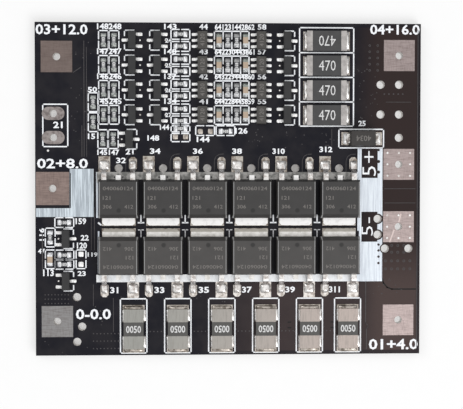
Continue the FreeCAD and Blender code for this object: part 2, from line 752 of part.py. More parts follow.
# Small packages
belt_top = "sizes.small_lead_rise + sizes.small_lead_root"
transistor_case_form = small_case_form(
    "transistor_case_form", "sizes.small_case_length", "sizes.transistor_depth",
    "sizes.small_case_standoff", belt_top, "sizes.transistor_height", "sizes.small_case_draft",
)
monitor_case_form = small_case_form(
    "monitor_case_form", "sizes.small_case_length", "sizes.monitor_depth",
    "sizes.small_case_standoff", belt_top, "sizes.monitor_height", "sizes.small_case_draft",
)
small_lead = small_lead_form("small_lead")

# Small chips
chip_bodies = {}
chip_ends = {}
for kind in ("resistor", "capacitor"):
    inner = "(sizes.chip_length / 2 - sizes.chip_end)"
    tall = f"sizes.chip_{kind}_height"
    chip_bodies[kind] = block_form(f"chip_{kind}_body_form", f"-{inner}", inner, "sizes.chip_width", tall)
    chip_ends[kind] = block_form(
        f"chip_{kind}_end_form", inner, "sizes.chip_length / 2", "sizes.chip_width", tall)

# Pads and lands
pad_form = wire_pad_form("pad_form", "sizes.wire_pad_size")
tap_form = wire_pad_form("tap_form", "sizes.tap_pad_size")
switch_form = switch_pad_form("switch_form")
tab_land_form = block_form(
    "tab_land_form", "-sizes.tab_land_border", "sizes.tab_length + sizes.tab_land_border",
    "sizes.tab_width + 2 * sizes.tab_land_border", "sizes.land_thickness",
)
source_land_form = block_form(
    "source_land_form", "layout.source_land_start", "layout.source_land_end",
    "sizes.source_land_width", "sizes.land_thickness",
)
gate_form = gate_land_form("gate_land_form")
balance_land_form = block_form(
    "balance_land_form", "sizes.balance_length / 2 - sizes.balance_end",
    "sizes.balance_length / 2 + sizes.balance_land_toe", "sizes.balance_land_width", "sizes.land_thickness",
)
shunt_land_form = block_form(
    "shunt_land_form", "sizes.shunt_element / 2", "sizes.shunt_length / 2 + sizes.shunt_land_toe",
    "sizes.shunt_land_width", "sizes.land_thickness",
)
diode_land_form = block_form(
    "diode_land_form", "sizes.diode_length / 2 - sizes.diode_terminal_fold",
    "sizes.diode_length / 2 + sizes.diode_terminal_reach + sizes.diode_land_toe",
    "sizes.diode_land_width", "sizes.land_thickness",
)
doc.recompute()

# Places of the repeated components, each with its turn: 0 has the length along Y
LINK_X = "layout.first_monitor_x + sizes.link_shift"
LINK_Y = "layout.last_row_y - sizes.link_drop"
OUTER_X = "sizes.chip_column_x - sizes.chip_column_step"
PAIR_X = "sizes.chip_column_x - sizes.lower_pair_shift"
LOWER_Y = "layout.last_row_y - sizes.lower_row_drop"
CLUSTER_CHIP_X = "sizes.cluster_column_x + sizes.cluster_chip_step"
CLUSTER_TRANSISTOR_X = "sizes.cluster_column_x + sizes.cluster_transistor_step"
ALONG = 0
ACROSS = 90

resistor_spots = [
    (OUTER_X, "layout.last_row_y + sizes.outer_chip_rise", ALONG),
    (OUTER_X, "layout.last_row_y - sizes.outer_chip_drop", ALONG),
    (PAIR_X, LOWER_Y, ALONG),
    (f"{PAIR_X} + sizes.chip_column_step", LOWER_Y, ALONG),
    ("layout.pair_column_x", "layout.last_row_y - sizes.third_pair_drop", ACROSS),
    (f"{LINK_X} + sizes.link_pitch", LINK_Y, ACROSS),
    (CLUSTER_CHIP_X, "layout.cluster_y", ACROSS),
    (CLUSTER_CHIP_X, "layout.cluster_y - sizes.cluster_upper_chip_drop", ACROSS),
    (CLUSTER_CHIP_X, "layout.cluster_y - sizes.cluster_lower_chip_drop", ACROSS),
    ("sizes.cluster_column_x", "layout.cluster_y - sizes.cluster_resistor_drop", ALONG),
]
capacitor_spots = [("sizes.cluster_column_x", "layout.cluster_y - sizes.cluster_capacitor_drop", ALONG)]
transistor_spots = [
    ("layout.first_transistor_x - sizes.lower_transistor_shift", LOWER_Y, -ACROSS),
    (CLUSTER_TRANSISTOR_X, "layout.cluster_y - sizes.cluster_transistor_drop", -ACROSS),
    (CLUSTER_TRANSISTOR_X, "layout.cluster_y - sizes.cluster_lower_transistor_drop", -ACROSS),
]
monitor_spots = []
for row in ROWS:
    resistor_spots += [
        ("sizes.chip_column_x", row, ALONG),
        ("sizes.chip_column_x + sizes.chip_column_step", row, ALONG),
        ("layout.pair_column_x", f"{row} + sizes.pair_offset", ACROSS),
        ("layout.pair_column_x", f"{row} - sizes.pair_offset", ACROSS),
        ("layout.block_x + sizes.block_pitch", row, ALONG),
        ("layout.block_x + 2 * sizes.block_pitch", row, ALONG),
    ]
    capacitor_spots += [
        ("layout.block_x", row, ALONG),
        ("layout.block_x + 3 * sizes.block_pitch", row, ALONG),
    ]
    transistor_spots += [
        ("layout.first_transistor_x", row, ACROSS),
        ("layout.second_transistor_x", row, ACROSS),
        ("layout.third_transistor_x", row, -ACROSS),
    ]
    monitor_spots += [
        ("layout.first_monitor_x", row, ACROSS),
        ("layout.second_monitor_x", row, ACROSS),
    ]


def spots_at(entries, lift):
    """Placements of listed components at one height."""
    return [place(across, up, lift, turn) for across, up, turn in entries]


def lead_spots(entries, lift, depth, front, rear):
    """Placements of a package's leads: offsets along its front face and its rear face."""
    front_leads = [place(offset, f"{depth} / 2") for offset in front]
    rear_leads = [place(offset, f"-{depth} / 2", turn=180) for offset in rear]
    return [spot * lead for spot in spots_at(entries, lift) for lead in front_leads + rear_leads]


SEAT = "layout.seat_z"
BOARD = "sizes.board_thickness"
TRANSISTOR_PAIR = ["-sizes.transistor_lead_pitch / 2", "sizes.transistor_lead_pitch / 2"]
TRANSISTOR_LEADS = ("sizes.transistor_depth", ["0"], TRANSISTOR_PAIR)
MONITOR_SIDE = ["-sizes.monitor_lead_pitch", "0", "sizes.monitor_lead_pitch"]
MONITOR_LEADS = ("sizes.monitor_depth", MONITOR_SIDE, MONITOR_SIDE)
BALANCE_SPOTS = [("layout.balance_x", row, ACROSS) for row in ROWS]
SHUNT_SPOTS = [(column, "layout.shunt_y", ALONG) for column in SHUNT_COLUMNS]
DIODE_SPOT = [("layout.diode_x", "layout.diode_y", ACROSS)]

# Grouped nodes on the board
group("wire_pads", [(pad_form, place(*spot, BOARD)) for spot in WIRE_PADS] + [
    (tap_form, place(*TAP_PAD, BOARD))])
group("switch_pads", [(switch_form, place(*spot, BOARD)) for spot in SWITCH_PADS])
mosfet_board_spots = spots_at(MOSFET_SPOTS, BOARD)
group("mosfet_lands", [(tab_land_form, spot) for spot in mosfet_board_spots] + [
    (source_land_form, spot * place("-sizes.lead_pitch / 2", "0")) for spot in mosfet_board_spots
] + [(gate_form, spot * place("sizes.lead_pitch / 2", "0")) for spot in mosfet_board_spots])
group("component_lands", both_ends(balance_land_form, spots_at(BALANCE_SPOTS, BOARD))
      + both_ends(shunt_land_form, spots_at(SHUNT_SPOTS, BOARD))
      + both_ends(diode_land_form, spots_at(DIODE_SPOT, BOARD)))

# Grouped nodes of the components
group("mosfet_leads", [
    (lead_form, spot * place(f"{side}sizes.lead_pitch / 2", "layout.case_front"))
    for spot in spots_at(MOSFET_SPOTS, SEAT) for side in ("-", "")
])
group("balance_resistor_ends", both_ends(wrap_form, spots_at(BALANCE_SPOTS, SEAT)))
group("shunt_terminals", both_ends(shunt_terminal_form, spots_at(SHUNT_SPOTS, SEAT)))
group("diode_terminals", both_ends(terminal_form, spots_at(DIODE_SPOT, SEAT)))
group("monitor_cases", [(monitor_case_form, spot) for spot in spots_at(monitor_spots, BOARD)])
group("monitor_leads", [(small_lead, spot) for spot in lead_spots(monitor_spots, BOARD, *MONITOR_LEADS)])
group("transistor_cases", [(transistor_case_form, spot) for spot in spots_at(transistor_spots, BOARD)])
group("transistor_leads", [
    (small_lead, spot) for spot in lead_spots(transistor_spots, BOARD, *TRANSISTOR_LEADS)
])
for kind, entries in (("resistor", resistor_spots), ("capacitor", capacitor_spots)):
    group(f"chip_{kind}_bodies", [(chip_bodies[kind], spot) for spot in spots_at(entries, BOARD)])
    group(f"chip_{kind}_ends", both_ends(chip_ends[kind], spots_at(entries, BOARD)))

# Checks and export
doc.recompute()
faults = [item.Label for item in doc.Objects if {"Invalid", "Error"} & set(item.State)]
faults += [node.Label for node in nodes if node.Shape.isNull() or not node.Shape.isValid()]
if faults:
    raise RuntimeError("faulty objects: " + ", ".join(faults))
os.makedirs("parts", exist_ok=True)
for node in nodes:
    node.Shape.exportStep(f"parts/{node.Label}.step")
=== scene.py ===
"""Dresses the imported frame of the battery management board: finishes, solder, print and vias.

Lengths are in millimetres until they reach a mesh, which is in metres. Places on the board are
measured as on its drawing: across from the left edge and down from the upper edge.
"""
import math
import random

import bmesh
import bpy
from mathutils import Matrix, Vector


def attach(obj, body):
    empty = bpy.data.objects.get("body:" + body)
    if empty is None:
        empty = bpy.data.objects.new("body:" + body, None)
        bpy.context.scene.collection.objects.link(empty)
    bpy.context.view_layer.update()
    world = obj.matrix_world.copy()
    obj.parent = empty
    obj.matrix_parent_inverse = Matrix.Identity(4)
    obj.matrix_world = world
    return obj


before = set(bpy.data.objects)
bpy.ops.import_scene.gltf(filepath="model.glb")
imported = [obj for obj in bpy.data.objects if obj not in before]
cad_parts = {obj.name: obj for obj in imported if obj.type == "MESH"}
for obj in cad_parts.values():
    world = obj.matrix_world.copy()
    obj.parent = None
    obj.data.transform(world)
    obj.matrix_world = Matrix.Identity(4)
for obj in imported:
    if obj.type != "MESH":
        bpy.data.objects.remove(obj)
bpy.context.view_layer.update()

MM = 0.001
SEED = 20

# Board: its sizes, and heights above its underside
BOARD_WIDE = 62.0
BOARD_DEEP = 53.4
BOARD_TOP = 1.6
LAND_TOP = 1.7

# Heights above the board's upper face
ON_LAND = LAND_TOP - BOARD_TOP  # lands and tinned strips
ON_PAD = 0.07  # wire pads
IN_COPPER = 0.05  # foot of what stands on copper
PRINT_TOP = 0.025
FILL_TOP = 0.03  # solder in a via
MASK_STEP = 0.02  # mask over raised copper
GAP_TOP = 0.01  # dark line between two coppers


def spot(across, down, up=0.0):
    """Point in metres at a place on the board's drawing, above the board's upper face."""
    return Vector((across - BOARD_WIDE / 2, BOARD_DEEP / 2 - down, BOARD_TOP + up)) * MM


# Rows and columns of the layout, across and down from the board's upper left corner
CHANNEL_PITCH = 3.97
CHANNEL_ROWS = [2.84 + CHANNEL_PITCH * step for step in range(4)]
CHANNELS_END = 16.5  # lower end of the four balance channels
MOSFET_PITCH = 7.1
MOSFET_COLUMNS = [13.3 + MOSFET_PITCH * step for step in range(6)]
MIDLINE = 32.75
OUTPUT_PADS = [(58.5, 22.65), (58.5, 32.75)]


# Shader expressions
class Value:
    """An output in a node tree; arithmetic on it adds Math nodes to its owner's tree."""

    def __init__(self, owner, socket):
        self.owner = owner
        self.socket = socket

    def math(self, operation, *operands):
        """Math node on this value and others."""
        inputs = dict(enumerate(operands))
        return self.owner.node("ShaderNodeMath", {"operation": operation}, inputs)

    def __add__(self, other):
        return self.math("ADD", self, other)

    def __radd__(self, other):
        return self.math("ADD", other, self)

    def __sub__(self, other):
        return self.math("SUBTRACT", self, other)

    def __rsub__(self, other):
        return self.math("SUBTRACT", other, self)

    def __mul__(self, other):
        return self.math("MULTIPLY", self, other)

    def __pow__(self, other):
        return self.math("POWER", self, other)

    def __abs__(self):
        return self.math("ABSOLUTE", self)

    def most(self, other):
        """The larger of this and another."""
        return self.math("MAXIMUM", self, other)

    def rise(self, low, high):
        """0 below one edge, 1 above the other and smooth between them."""
        settings = {"interpolation_type": "SMOOTHSTEP"}
        inputs = {"Value": self, "From Min": low, "From Max": high}
        return self.owner.node("ShaderNodeMapRange", settings, inputs)

    def fall(self, low, high):
        """1 below one edge, 0 above the other and smooth between them."""
        return 1 - self.rise(low, high)

    def wrapped(self, period):
        """This value folded to within half a period of 0."""
        return self.math("WRAP", self, period / 2, -period / 2)


# Colour sockets of a Mix node, whose names are shared by its other kinds
MIX_FIRST, MIX_SECOND, MIX_RESULT = 6, 7, 2


class Tree:
    """A node tree that is filled by expressions."""

    def __init__(self, tree):
        self.tree = tree

    def node(self, kind, settings, inputs, output=0):
        """Node of a kind, with its settings, its sockets' values or links, and one output."""
        made = self.tree.nodes.new(kind)
        for name, setting in settings.items():
            setattr(made, name, setting)
        for socket, given in inputs.items():
            if isinstance(given, Value):
                self.tree.links.new(given.socket, made.inputs[socket])
            else:
                made.inputs[socket].default_value = given
        return Value(self, made.outputs[output])

    def parts(self, vector):
        """The three parts of a vector."""
        inputs = {"Vector": vector}
        return [self.node("ShaderNodeSeparateXYZ", {}, inputs, axis) for axis in "XYZ"]

    def vector(self, operation, *operands, **more):
        """Vector Math node."""
        inputs = {**dict(enumerate(operands)), **more}
        return self.node("ShaderNodeVectorMath", {"operation": operation}, inputs)

    def mix(self, share, first, second):
        """Colour between two colours."""
        inputs = {"Factor": share, MIX_FIRST: colour(first), MIX_SECOND: colour(second)}
        return self.node("ShaderNodeMix", {"data_type": "RGBA"}, inputs, MIX_RESULT)

    def seen_by_camera(self):
        """1 for rays straight from the camera."""
        return self.node("ShaderNodeLightPath", {}, {}, "Is Camera Ray")

    def seen_directly(self):
        """1 for rays from the camera, from gloss and through clear parts."""
        glossy = self.node("ShaderNodeLightPath", {}, {}, "Is Glossy Ray")
        clear = self.node("ShaderNodeLightPath", {}, {}, "Is Transmission Ray")
        return self.seen_by_camera().most(glossy).most(clear)


class Finish(Tree):
    """A procedural material in millimetres of the board's own frame."""

    def __init__(self, name, **uniform):
        self.material = bpy.data.materials.new(name)
        self.material.use_nodes = True
        super().__init__(self.material.node_tree)
        self.shader = self.tree.nodes["Principled BSDF"]
        for socket, number in uniform.items():
            self.shader.inputs[socket.replace("_", " ")].default_value = number
        place = self.node("ShaderNodeTexCoord", {}, {}, "Object")
        self.place = self.vector("SCALE", place, Scale=1 / MM)
        self.x, self.y = self.parts(self.place)[:2]

    def stretched(self, x, y, z):
        """The place with each direction scaled, for grain that runs one way."""
        return self.vector("MULTIPLY", self.place, (x, y, z))

    def noise(self, scale, detail, roughness=0.5, place=None):
        """Noise between 0 and 1, its scale in cycles a millimetre."""
        inputs = {"Vector": place or self.place,
                  "Scale": scale, "Detail": detail, "Roughness": roughness}
        return self.node("ShaderNodeTexNoise", {}, inputs)

    def on_board(self, margin, soft):
        """1 over the board less a margin, 0 beyond that and smooth between them."""
        wide, deep = BOARD_WIDE / 2 - margin, BOARD_DEEP / 2 - margin
        return abs(self.x).fall(wide, wide + soft) * abs(self.y).fall(deep, deep + soft)

    def side_on(self):
        """1 on walls, 0 on level faces."""
        normal = self.node("ShaderNodeNewGeometry", {}, {}, "Normal")
        return abs(self.parts(normal)[2]).fall(0.4, 0.6)

    def wear(self, base, rough, height, strength, distance, metal=None):
        """Drive the colour, the roughness, the relief and, if given, the metal of the surface."""
        self.link("Base Color", base)
        self.link("Roughness", rough)
        if metal is not None:
            self.link("Metallic", metal)
        inputs = {"Height": height, "Strength": strength, "Distance": distance * MM}
        self.link("Normal", self.node("ShaderNodeBump", {}, inputs))
        return self.material

    def link(self, socket, given):
        """Link into one socket of the surface."""
        self.tree.links.new(given.socket, self.shader.inputs[socket])


def colour(given):
    """A colour with its alpha, or a link as it is."""
    return given if isinstance(given, Value) else (*given, 1)


# Finishes of the board; edges of tones are in millimetres from its middle, right and up
def mask_finish():
    """Black solder mask, browner to the right, with laminate edges and tinned hole walls."""
    finish = Finish("solder_mask", Specular_IOR_Level=0.16)
    cloud = finish.noise(0.35, 4)
    grain = finish.noise(9, 4, 0.7)
    low = finish.y.fall(-17, -6)
    corner = finish.x.rise(-8, 10) * finish.y.fall(-15.5, -13.5)
    rim = abs(finish.x).rise(30.35, 30.5).most(abs(finish.y).rise(26.0, 26.15))
    warm = finish.x.rise(19, 25).most(corner * 0.55) * (1 - rim * 0.75)
    black = finish.mix(cloud.rise(0.35, 0.65), (0.006, 0.006, 0.011), (0.014, 0.013, 0.017))
    brown = finish.mix(low, (0.029, 0.018, 0.017), (0.078, 0.054, 0.05))
    face = finish.mix(warm, black, finish.mix(grain * 0.4, brown, (0.02, 0.012, 0.012)))
    walls = finish.side_on()
    inside = finish.on_board(0.1, 0.05)
    weave = finish.noise(3, 3, place=finish.stretched(1, 1, 6))
    laminate = finish.mix(weave, (0.02, 0.018, 0.015), (0.09, 0.075, 0.055))
    edges = finish.mix(inside, laminate, (0.72, 0.7, 0.68))
    rough = 0.3 + grain * 0.14 + walls * 0.25
    height = cloud * 0.5 + grain * 0.5
    base = finish.mix(walls, face, edges)
    return finish.wear(base, rough, height, 0.12, 0.02, metal=walls * inside)


def copper_finish():
    """Bare tinned copper of the wire pads: fine brushed lines, greyer to the lower left, with
    painted shade that darkens them to the left and at the upper left, and painted light that
    brightens them to the right and lower down.
    """
    finish = Finish("wire_pad_metal")
    brush = finish.noise(1, 3, 0.6, finish.stretched(0.7, 9, 1))
    cross = finish.noise(1, 3, 0.6, finish.stretched(7, 0.9, 1))
    stain = finish.noise(0.7, 4, 0.6)
    right = finish.x.rise(-5, 20)
    down = finish.y.fall(-15, 22)
    corner = finish.y.rise(8, 16)
    # Painted shade: the left pads are darker, and darker still towards the top.
    shaded_left_tone = finish.mix(stain, (0.2, 0.15, 0.135), (0.38, 0.29, 0.26))
    shaded_left_tone = finish.mix(corner * 0.6, shaded_left_tone, (0.14, 0.115, 0.105))
    # Painted light: the right pads are lighter, most towards the bottom.
    lit_right_tone = finish.mix(down, (0.4, 0.33, 0.32), (0.52, 0.425, 0.41))
    tinned = finish.x.fall(-20, -15) * finish.y.fall(-19, -17)
    tone = finish.mix(tinned, finish.mix(right, shaded_left_tone, lit_right_tone), (0.29, 0.285, 0.285))
    lines = brush.rise(0.4, 0.68) * 0.55 + cross.rise(0.45, 0.7) * 0.35
    base = finish.mix(lines, tone, finish.mix(0.6, tone, (0.11, 0.08, 0.075)))
    rough = 0.3 + stain * 0.25
    return finish.wear(base, rough, brush + cross * 0.6, 0.35, 0.03, metal=0.75 + lines * 0.2)


def strip_finish(name, tone, streak_tone):
    """Streaked tinned copper, dull along the upper leads and whiter along the lower ones."""
    finish = Finish(name)
    streak = finish.noise(1, 4, 0.65, finish.stretched(4.5, 0.16, 1))
    ripple = finish.noise(1.3, 3, 0.55)
    fine = finish.noise(12, 2)
    before_pads = finish.x.fall(20.6, 20.8)
    high_band = finish.y.rise(0.8, 1.3) * finish.x.rise(-21.3, -21.1) * before_pads
    low_band = finish.y.fall(-13.6, -13.3) * before_pads
    bright = finish.mix(streak.rise(0.4, 0.62), streak_tone, tone)
    dull = finish.mix(ripple.rise(0.36, 0.6), (0.19, 0.188, 0.18), (0.44, 0.43, 0.415))
    white = finish.mix(ripple.rise(0.4, 0.62), (0.97, 0.97, 0.97), (0.86, 0.87, 0.88))
    base = finish.mix(low_band * 0.75, finish.mix(high_band, bright, dull), white)
    height = streak * 0.6 + ripple * 0.4 + fine * 0.08
    return finish.wear(base, 0.24 + ripple * 0.25, height, 0.45, 0.05, metal=0.7 + fine * 0.1)


# Where the darker blots of tinned metal begin and end
BLOT_EDGES = (0.42, 0.64)


def tinned(finish, base, ripple, gloss, metal):
    """Surface of tinned metal: the ripples of its blots, and a fine grain over them."""
    fine = finish.noise(11, 3, 0.6)
    height = ripple * 0.6 + fine * 0.3
    return finish.wear(base, gloss + fine * 0.22, height, 0.35, 0.03, metal=metal + fine * 0.12)


def tin_finish(name, bright, dark, blot, gloss, metal=0.85):
    """Tinned or soldered metal, with darker blots."""
    finish = Finish(name)
    ripple = finish.noise(blot, 3, 0.6)
    base = finish.mix(ripple.rise(*BLOT_EDGES), bright, dark)
    return tinned(finish, base, ripple, gloss, metal)


def land_finish():
    """Tinned lands of the power transistors: browner above them, brighter below."""
    finish = Finish("power_land_metal")
    ripple = finish.noise(1.6, 3, 0.6)
    below = finish.y.fall(-13, -11)
    bright = finish.mix(below, (0.56, 0.52, 0.47), (0.86, 0.82, 0.78))
    dark = finish.mix(below, (0.22, 0.18, 0.15), (0.42, 0.37, 0.33))
    base = finish.mix(ripple.rise(*BLOT_EDGES), bright, dark)
    return tinned(finish, base, ripple, gloss=0.25, metal=0.85)


# Finishes of the components
def chip_end_finish(name, shade):
    """Tinned ends of the small chips: dull at the left, shaded in the framed fours.

    The shade is strongest on the upper end of each framed chip.
    """
    finish = Finish(name)
    ripple = finish.noise(3, 3, 0.6)
    right = finish.x.rise(-16, -13).most(finish.y.fall(-2, 0))
    dull = finish.mix(ripple.rise(*BLOT_EDGES), (0.5, 0.52, 0.5), (0.24, 0.26, 0.255))
    bright = finish.mix(ripple.rise(0.45, 0.7), (0.97, 0.98, 1.0), (0.5, 0.51, 0.53))
    framed = abs(finish.x - 0.4).fall(3.1, 3.4) * finish.y.rise(9.7, 10.2)
    first_row = BOARD_DEEP / 2 - CHANNEL_ROWS[0]
    upper = (finish.y - first_row).wrapped(CHANNEL_PITCH).rise(0, 0.3)
    bright = finish.mix(framed * (0.35 + upper * 0.45), bright, shade)
    return tinned(finish, finish.mix(right, dull, bright), ripple, gloss=0.25, metal=0.6)


def power_case_finish():
    """Moulded case of a power transistor: lighter in the lower row with painted light, pale painted
    highlights along the side edges of its top, and the dish of its ejector.

    The dish is measured from its middle, 2.75 mm from the midline and 0.1 mm right of the case's.
    """
    finish = Finish("power_case_moulding", Specular_IOR_Level=0.4)
    grain = finish.noise(16, 4, 0.75)
    cloud = finish.noise(0.6, 3)
    # Painted light: the cases of the lower row are lighter than those of the upper row.
    lower = finish.y.fall(-7, -5)
    shaded_upper_tone = finish.mix(cloud, (0.02, 0.0195, 0.0195), (0.036, 0.0345, 0.035))
    lit_lower_tone = finish.mix(cloud, (0.04, 0.038, 0.037), (0.066, 0.062, 0.06))
    across = (finish.x + (BOARD_WIDE / 2 - MOSFET_COLUMNS[0])).wrapped(MOSFET_PITCH)
    aside = across - 0.1
    along = abs(finish.y + (MIDLINE - BOARD_DEEP / 2)) - 2.75
    dish = (aside * aside + along * along) ** 0.5
    # Painted highlight: pale bands along both side edges of each case's top.
    painted_edge_highlight = abs(across).rise(2.84, 2.94) * abs(across).fall(3.08, 3.18) * (1 - finish.side_on())
    tone = finish.mix(grain * 0.35, finish.mix(lower, shaded_upper_tone, lit_lower_tone), (0.11, 0.105, 0.1))
    dished = finish.mix(dish.fall(0.25, 0.45) * 0.7, tone, (0.012, 0.012, 0.012))
    base = finish.mix(painted_edge_highlight * (0.45 + grain * 0.5), dished, (0.5, 0.5, 0.5))
    height = grain * 0.35 + dish.rise(0.35, 0.45) * 0.8
    return finish.wear(base, 0.52 + grain * 0.16, height, 0.5, 0.05)


def tab_finish():
    """Tinned drain tab, with painted light: bright in the upper row and duller in the lower one,
    where the outer end is brownish and painted shade of the case crosses the inner end.
    """
    finish = Finish("power_tab_metal")
    roll = finish.noise(1, 3, 0.6, finish.stretched(1.4, 7, 1))
    blot = finish.noise(1.6, 3)
    # Painted light: the upper tabs are nearly white, the lower ones duller.
    lower = finish.y.fall(-6.4, -5.9)
    bright = finish.mix(blot.rise(0.5, 0.75), (0.97, 0.96, 0.95), (0.82, 0.81, 0.8))
    dull = finish.mix(blot.rise(0.3, 0.7), (0.93, 0.91, 0.88), (0.7, 0.68, 0.64))
    # A brownish band at the outer end of the lower tabs, and painted shade of the case across their
    # inner end.
    edge = finish.y.rise(-6.9, -6.7).most(finish.y.fall(-7.95, -7.8) * finish.y.rise(-9, -8.5))
    base = finish.mix(lower, bright, finish.mix(edge * 0.75, dull, (0.26, 0.235, 0.19)))
    height = roll + blot * 0.4
    return finish.wear(base, 0.24 + roll * 0.2, height, 0.3, 0.03, metal=0.4 + lower * 0.25)


def shunt_terminal_finish():
    """Dull brushed metal of the shunts, warmer to the right."""
    finish = Finish("shunt_terminal_metal")
    brush = finish.noise(1, 3, 0.6, finish.stretched(5, 0.5, 1))
    cloud = finish.noise(0.8, 3)
    tone = finish.mix(finish.x.rise(-18, 24), (0.36, 0.36, 0.335), (0.48, 0.41, 0.375))
    base = finish.mix(brush.rise(0.45, 0.7) * 0.3 + cloud * 0.15, tone, (0.2, 0.185, 0.17))
    return finish.wear(base, 0.36 + cloud * 0.15, brush, 0.3, 0.03, metal=0.8 + cloud * 0.1)


def moulded_finish(name, dark, light, grain_scale=14, rough=0.5):
    """Moulded or glazed body with a fine grain and a cloudy tone."""
    finish = Finish(name, Specular_IOR_Level=0.45)
    grain = finish.noise(grain_scale, 4, 0.7)
    cloud = finish.noise(1.1, 3)
    base = finish.mix(cloud * 0.6 + grain * 0.4, dark, light)
    return finish.wear(base, rough + grain * 0.15, grain, 0.35, 0.03)


def ink_finish(name, ink, thin):
    """Printed ink, thinner in places."""
    finish = Finish(name, Specular_IOR_Level=0.3)
    patch = finish.noise(2.5, 4, 0.65)
    grain = finish.noise(22, 2)
    base = finish.mix(patch.rise(0.45, 0.8) * 0.7, ink, thin)
    return finish.wear(base, 0.5 + grain * 0.2, grain, 0.2, 0.01)


mask = mask_finish()
solder = tin_finish("solder_joint_metal", (0.97, 0.96, 0.94), (0.58, 0.54, 0.51), 2.0, 0.2)
small_solder = tin_finish(
    "small_joint_metal", (1.0, 1.0, 1.0), (0.78, 0.77, 0.75), 2.5, 0.3, 0.45)
white_ink = ink_finish("white_print_ink", (0.93, 0.95, 0.98), (0.66, 0.69, 0.74))
FINISHES = {
    "board": mask,
    "wire_pad": copper_finish(),
    "switch_pad": tin_finish("switch_pad_metal", (0.36, 0.32, 0.31), (0.2, 0.17, 0.165), 1.2, 0.25),
    "battery_strip": strip_finish("battery_strip_metal", (0.74, 0.82, 0.88), (0.42, 0.47, 0.52)),
    "output_strip": strip_finish("output_strip_metal", (0.84, 0.9, 0.96), (0.66, 0.71, 0.78)),
    "power_case": power_case_finish(),
    "power_tab": tab_finish(),
    "power_lead": tin_finish("power_lead_metal", (0.97, 0.95, 0.93), (0.55, 0.5, 0.47), 1.6, 0.15),
    "power_land": land_finish(),
    "balance_body": moulded_finish(
        "balance_body_glaze", (0.03, 0.03, 0.031), (0.072, 0.071, 0.072), 10, 0.4),
    "balance_end": tin_finish("balance_end_metal", (0.53, 0.505, 0.49), (0.4, 0.38, 0.37), 1.2, 0.3),
    "shunt_coat": moulded_finish(
        "shunt_coat_resin", (0.055, 0.053, 0.05), (0.1, 0.098, 0.093), 12, 0.42),
    "shunt_terminal": shunt_terminal_finish(),
    "diode_case": moulded_finish("diode_case_moulding", (0.018, 0.016, 0.015), (0.05, 0.045, 0.042)),
    "diode_terminal": tin_finish(
        "diode_terminal_metal", (0.85, 0.83, 0.8), (0.25, 0.22, 0.2), 1.6, 0.15),
    "monitor_case": moulded_finish(
        "monitor_case_moulding", (0.035, 0.033, 0.03), (0.08, 0.075, 0.07)),
    "monitor_lead": tin_finish(
        "monitor_lead_metal", (1.0, 1.0, 1.0), (0.78, 0.77, 0.75), 3, 0.3, 0.45),
    "transistor_case": moulded_finish(
        "transistor_case_moulding", (0.012, 0.012, 0.013), (0.035, 0.035, 0.036)),
    "transistor_lead": tin_finish(
        "transistor_lead_metal", (1.0, 1.0, 1.0), (0.74, 0.73, 0.72), 3, 0.3, 0.45),
    "chip_resistor": moulded_finish(
        "chip_resistor_glaze", (0.02, 0.022, 0.026), (0.065, 0.07, 0.08), 12, 0.3),
    "chip_resistor_end": chip_end_finish("chip_resistor_end_metal", (0.2, 0.2, 0.2)),
    "chip_capacitor": moulded_finish(
        "chip_capacitor_ceramic", (0.36, 0.27, 0.19), (0.55, 0.44, 0.34), 5, 0.4),
    "chip_capacitor_end": chip_end_finish("chip_capacitor_end_metal", (0.17, 0.2, 0.165)),
    "component_land": tin_finish(
        "component_land_metal", (0.56, 0.51, 0.46), (0.22, 0.19, 0.16), 1.4, 0.25),
}
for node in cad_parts.values():
    for holder in node.material_slots:
        holder.material = FINISHES[holder.material.name.split(".")[0]]


# Building tools for the pieces

# Solder mounds: a ring's corners and its roundness (1 is an ellipse), the height of the outer
# edge, and each higher ring's size and height as shares of the mound's
MOUND_CORNERS = 16
MOUND_ROUNDNESS = 0.4
MOUND_EDGE = 0.035
MOUND_LEVELS = ((0.86, 0.36), (0.62, 0.78), (0.3, 1.0))


def circle(across, down, radius, steps):
    """Places round a circle."""
    turns = [2 * math.pi * step / steps for step in range(steps)]
    return [(across + radius * math.cos(turn), down - radius * math.sin(turn)) for turn in turns]


